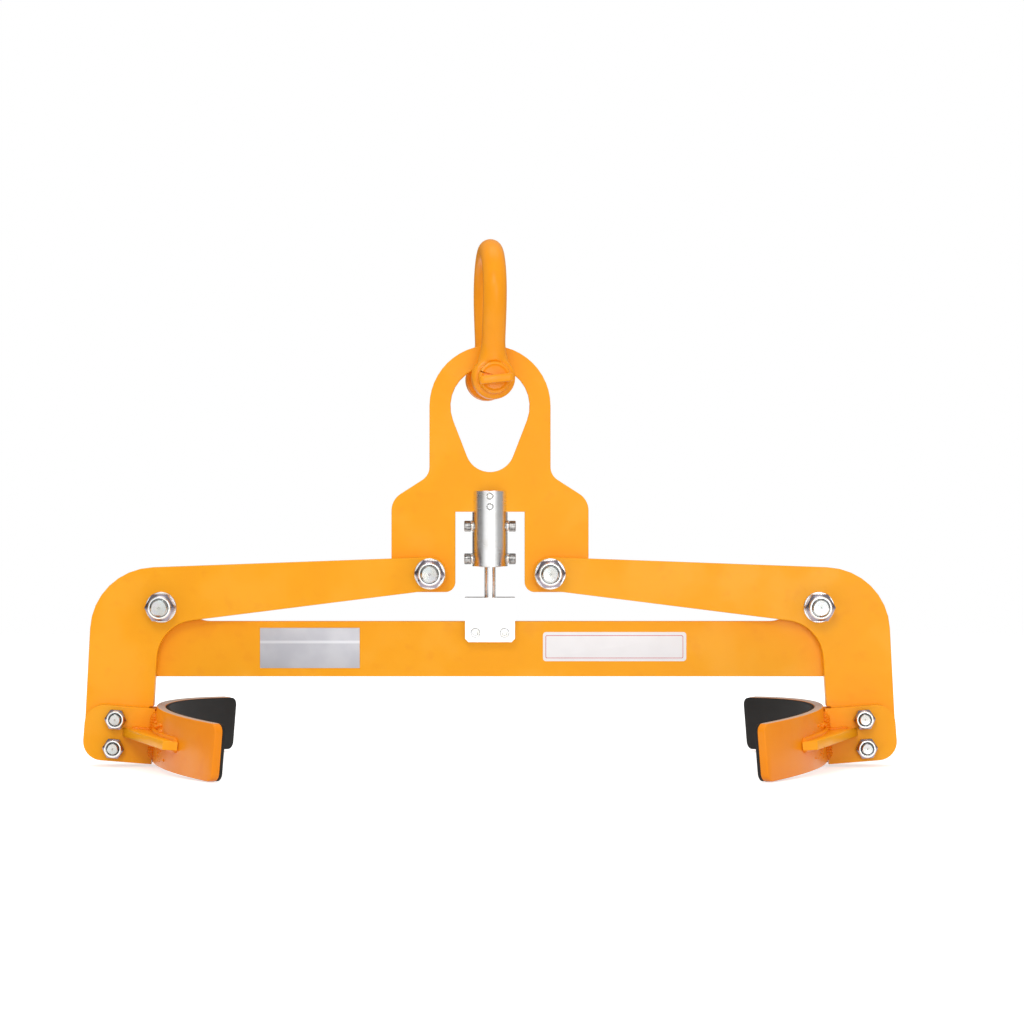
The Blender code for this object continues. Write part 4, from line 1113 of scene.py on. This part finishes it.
def labels():
    """The bare rating plate and the bare, bordered film badge on the beam."""
    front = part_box("cross_beam")[0][1]
    film = 0.0001
    sheet_label("rating_plate_blank", satin_plate(*STRIPE),
                (-0.2088, 0.0877), (-0.1183, 0.1242), front, 5 * film, 0.0)
    white = vinyl("badge_white", (0.90, 0.88, 0.89, 1.0))
    sheet_label("badge_film", white, (0.0481, 0.0939), (0.1782, 0.1204),
                front, film, 0.0028)
    sheet_label("badge_border", vinyl("badge_red", (0.62, 0.06, 0.09, 1.0)),
                (0.0504, 0.0966), (0.1754, 0.1174), front - film, film, 0.0014)
    sheet_label("badge_field", white, (0.0509, 0.0971), (0.1749, 0.1169),
                front - 2 * film, film, 0.0010)


FLOOR_GLOW = 0.62
SOFT_LIGHT = 0.77
LAMPS = {"key_box": ((-0.5, -2.9, 1.9), (1.0, 0.8), 20.0),
         "fill_box": ((0.7, -2.9, 0.6), (0.9, 0.9), 11.0),
         "top_box": ((0.0, 0.2, 2.2), (1.6, 1.0), 8.0)}


def floor_material():
    """A pale floor that reads white apart from the object's shadow and fades out far away."""
    floor = Finish("floor_white")
    seen = (floor.straight() + floor.ray("Is Glossy Ray")).clamp()
    grain = floor.noise(3.0, 2.0, 0.5)
    floor.surface(Base_Color=shade(0.80), Roughness=0.7 + grain * 0.1, Specular_IOR_Level=0.2,
                  Emission_Color=floor.mix(seen, BLACK, shade(FLOOR_GLOW)),
                  Emission_Strength=1.0)
    reach = floor.node("ShaderNodeVectorMath", {"operation": "LENGTH"}, floor.place())
    clear = floor.node("ShaderNodeBsdfTransparent", {})
    solid = Wire(floor, floor.shader.outputs["BSDF"])
    faded = floor.node("ShaderNodeMixShader", {}, reach.step(1.0, 3.0), solid, clear)
    floor.feed(floor.tree.nodes["Material Output"].inputs["Surface"], faded)
    return floor.material


def floor_plane():
    body = bmesh.new()
    bmesh.ops.create_grid(body, x_segments=2, y_segments=2, size=4.0)
    bmesh.ops.translate(body, verts=body.verts, vec=(0.0, 0.0, -0.0004))
    mesh = bpy.data.meshes.new("studio_floor")
    body.to_mesh(mesh)
    body.free()
    mesh.materials.append(floor_material())
    floor = bpy.data.objects.new("studio_floor", mesh)
    bpy.context.scene.collection.objects.link(floor)


def studio_world():
    """A white surround, dimmer to the sides and behind for what metal reflects of it."""
    world = bpy.data.worlds.new("studio_world")
    bpy.context.scene.world = world
    world.use_nodes = True
    sky = Graph(world.node_tree)
    direction = sky.node("ShaderNodeTexCoord", {}, out="Generated")
    to_camera = 0 - sky.part(direction, "Y")
    to_left = 0 - sky.part(direction, "X")
    upward = sky.part(direction, "Z")
    gap = 1 - to_camera.step(0.55, 0.92)
    dim = gap * (0.74 + to_left.step(-0.3, 0.3) * 0.20) * (1 - upward.step(0.0, 0.7) * 0.35)
    straight = sky.straight()
    glossy = sky.ray("Is Glossy Ray")
    indirect = glossy * (1 - dim) + (1 - glossy) * SOFT_LIGHT
    background = world.node_tree.nodes["Background"]
    sky.feed(background.inputs["Color"], WHITE)
    sky.feed(background.inputs["Strength"], straight + (1 - straight) * indirect)


def lamp(name, place, size, watts):
    light = bpy.data.lights.new(name, "AREA")
    light.shape = "RECTANGLE"
    light.size, light.size_y = size
    light.energy = watts
    item = bpy.data.objects.new(name, light)
    item.location = place
    aim = Vector((0.0, 0.0, 0.2)) - Vector(place)
    item.rotation_euler = aim.to_track_quat("-Z", "Y").to_euler()
    bpy.context.scene.collection.objects.link(item)


def studio():
    studio_world()
    floor_plane()
    for name, (place, size, watts) in LAMPS.items():
        lamp(name, place, size, watts)
    bpy.context.scene.view_settings.view_transform = "Standard"


def camera():
    data = bpy.data.cameras.new("photo_camera")
    data.sensor_width = SENSOR
    data.lens = FOCAL_PIXELS / FRAME_PIXELS * SENSOR
    data.shift_x = (FRAME_PIXELS / 2 - CENTRE_PIXEL_X) / FRAME_PIXELS
    data.shift_y = (HORIZON_PIXEL_Y - FRAME_PIXELS / 2) / FRAME_PIXELS
    data.clip_end = 100.0
    item = bpy.data.objects.new("photo_camera", data)
    item.location = (0.0, PLATE_Y - CAMERA_DISTANCE, CAMERA_HEIGHT)
    item.rotation_euler = (math.pi / 2, 0.0, 0.0)
    bpy.context.scene.collection.objects.link(item)
    bpy.context.scene.camera = item


camera()
studio()
painted_plates()
sleeve()
sleeve_pins()
index_rod()
eased("saddle", ALUMINIUM, SADDLE_EDGE)
shackle_bow()
shackle_pin()
for end in SIDES:
    pads(end)
    shoe_welds(end)
    pivot_fasteners(end + "_outer_pivot")
    pivot_fasteners(end + "_inner_pivot")
    pad_fasteners(end)
cam_screws()
saddle_screws()
labels()
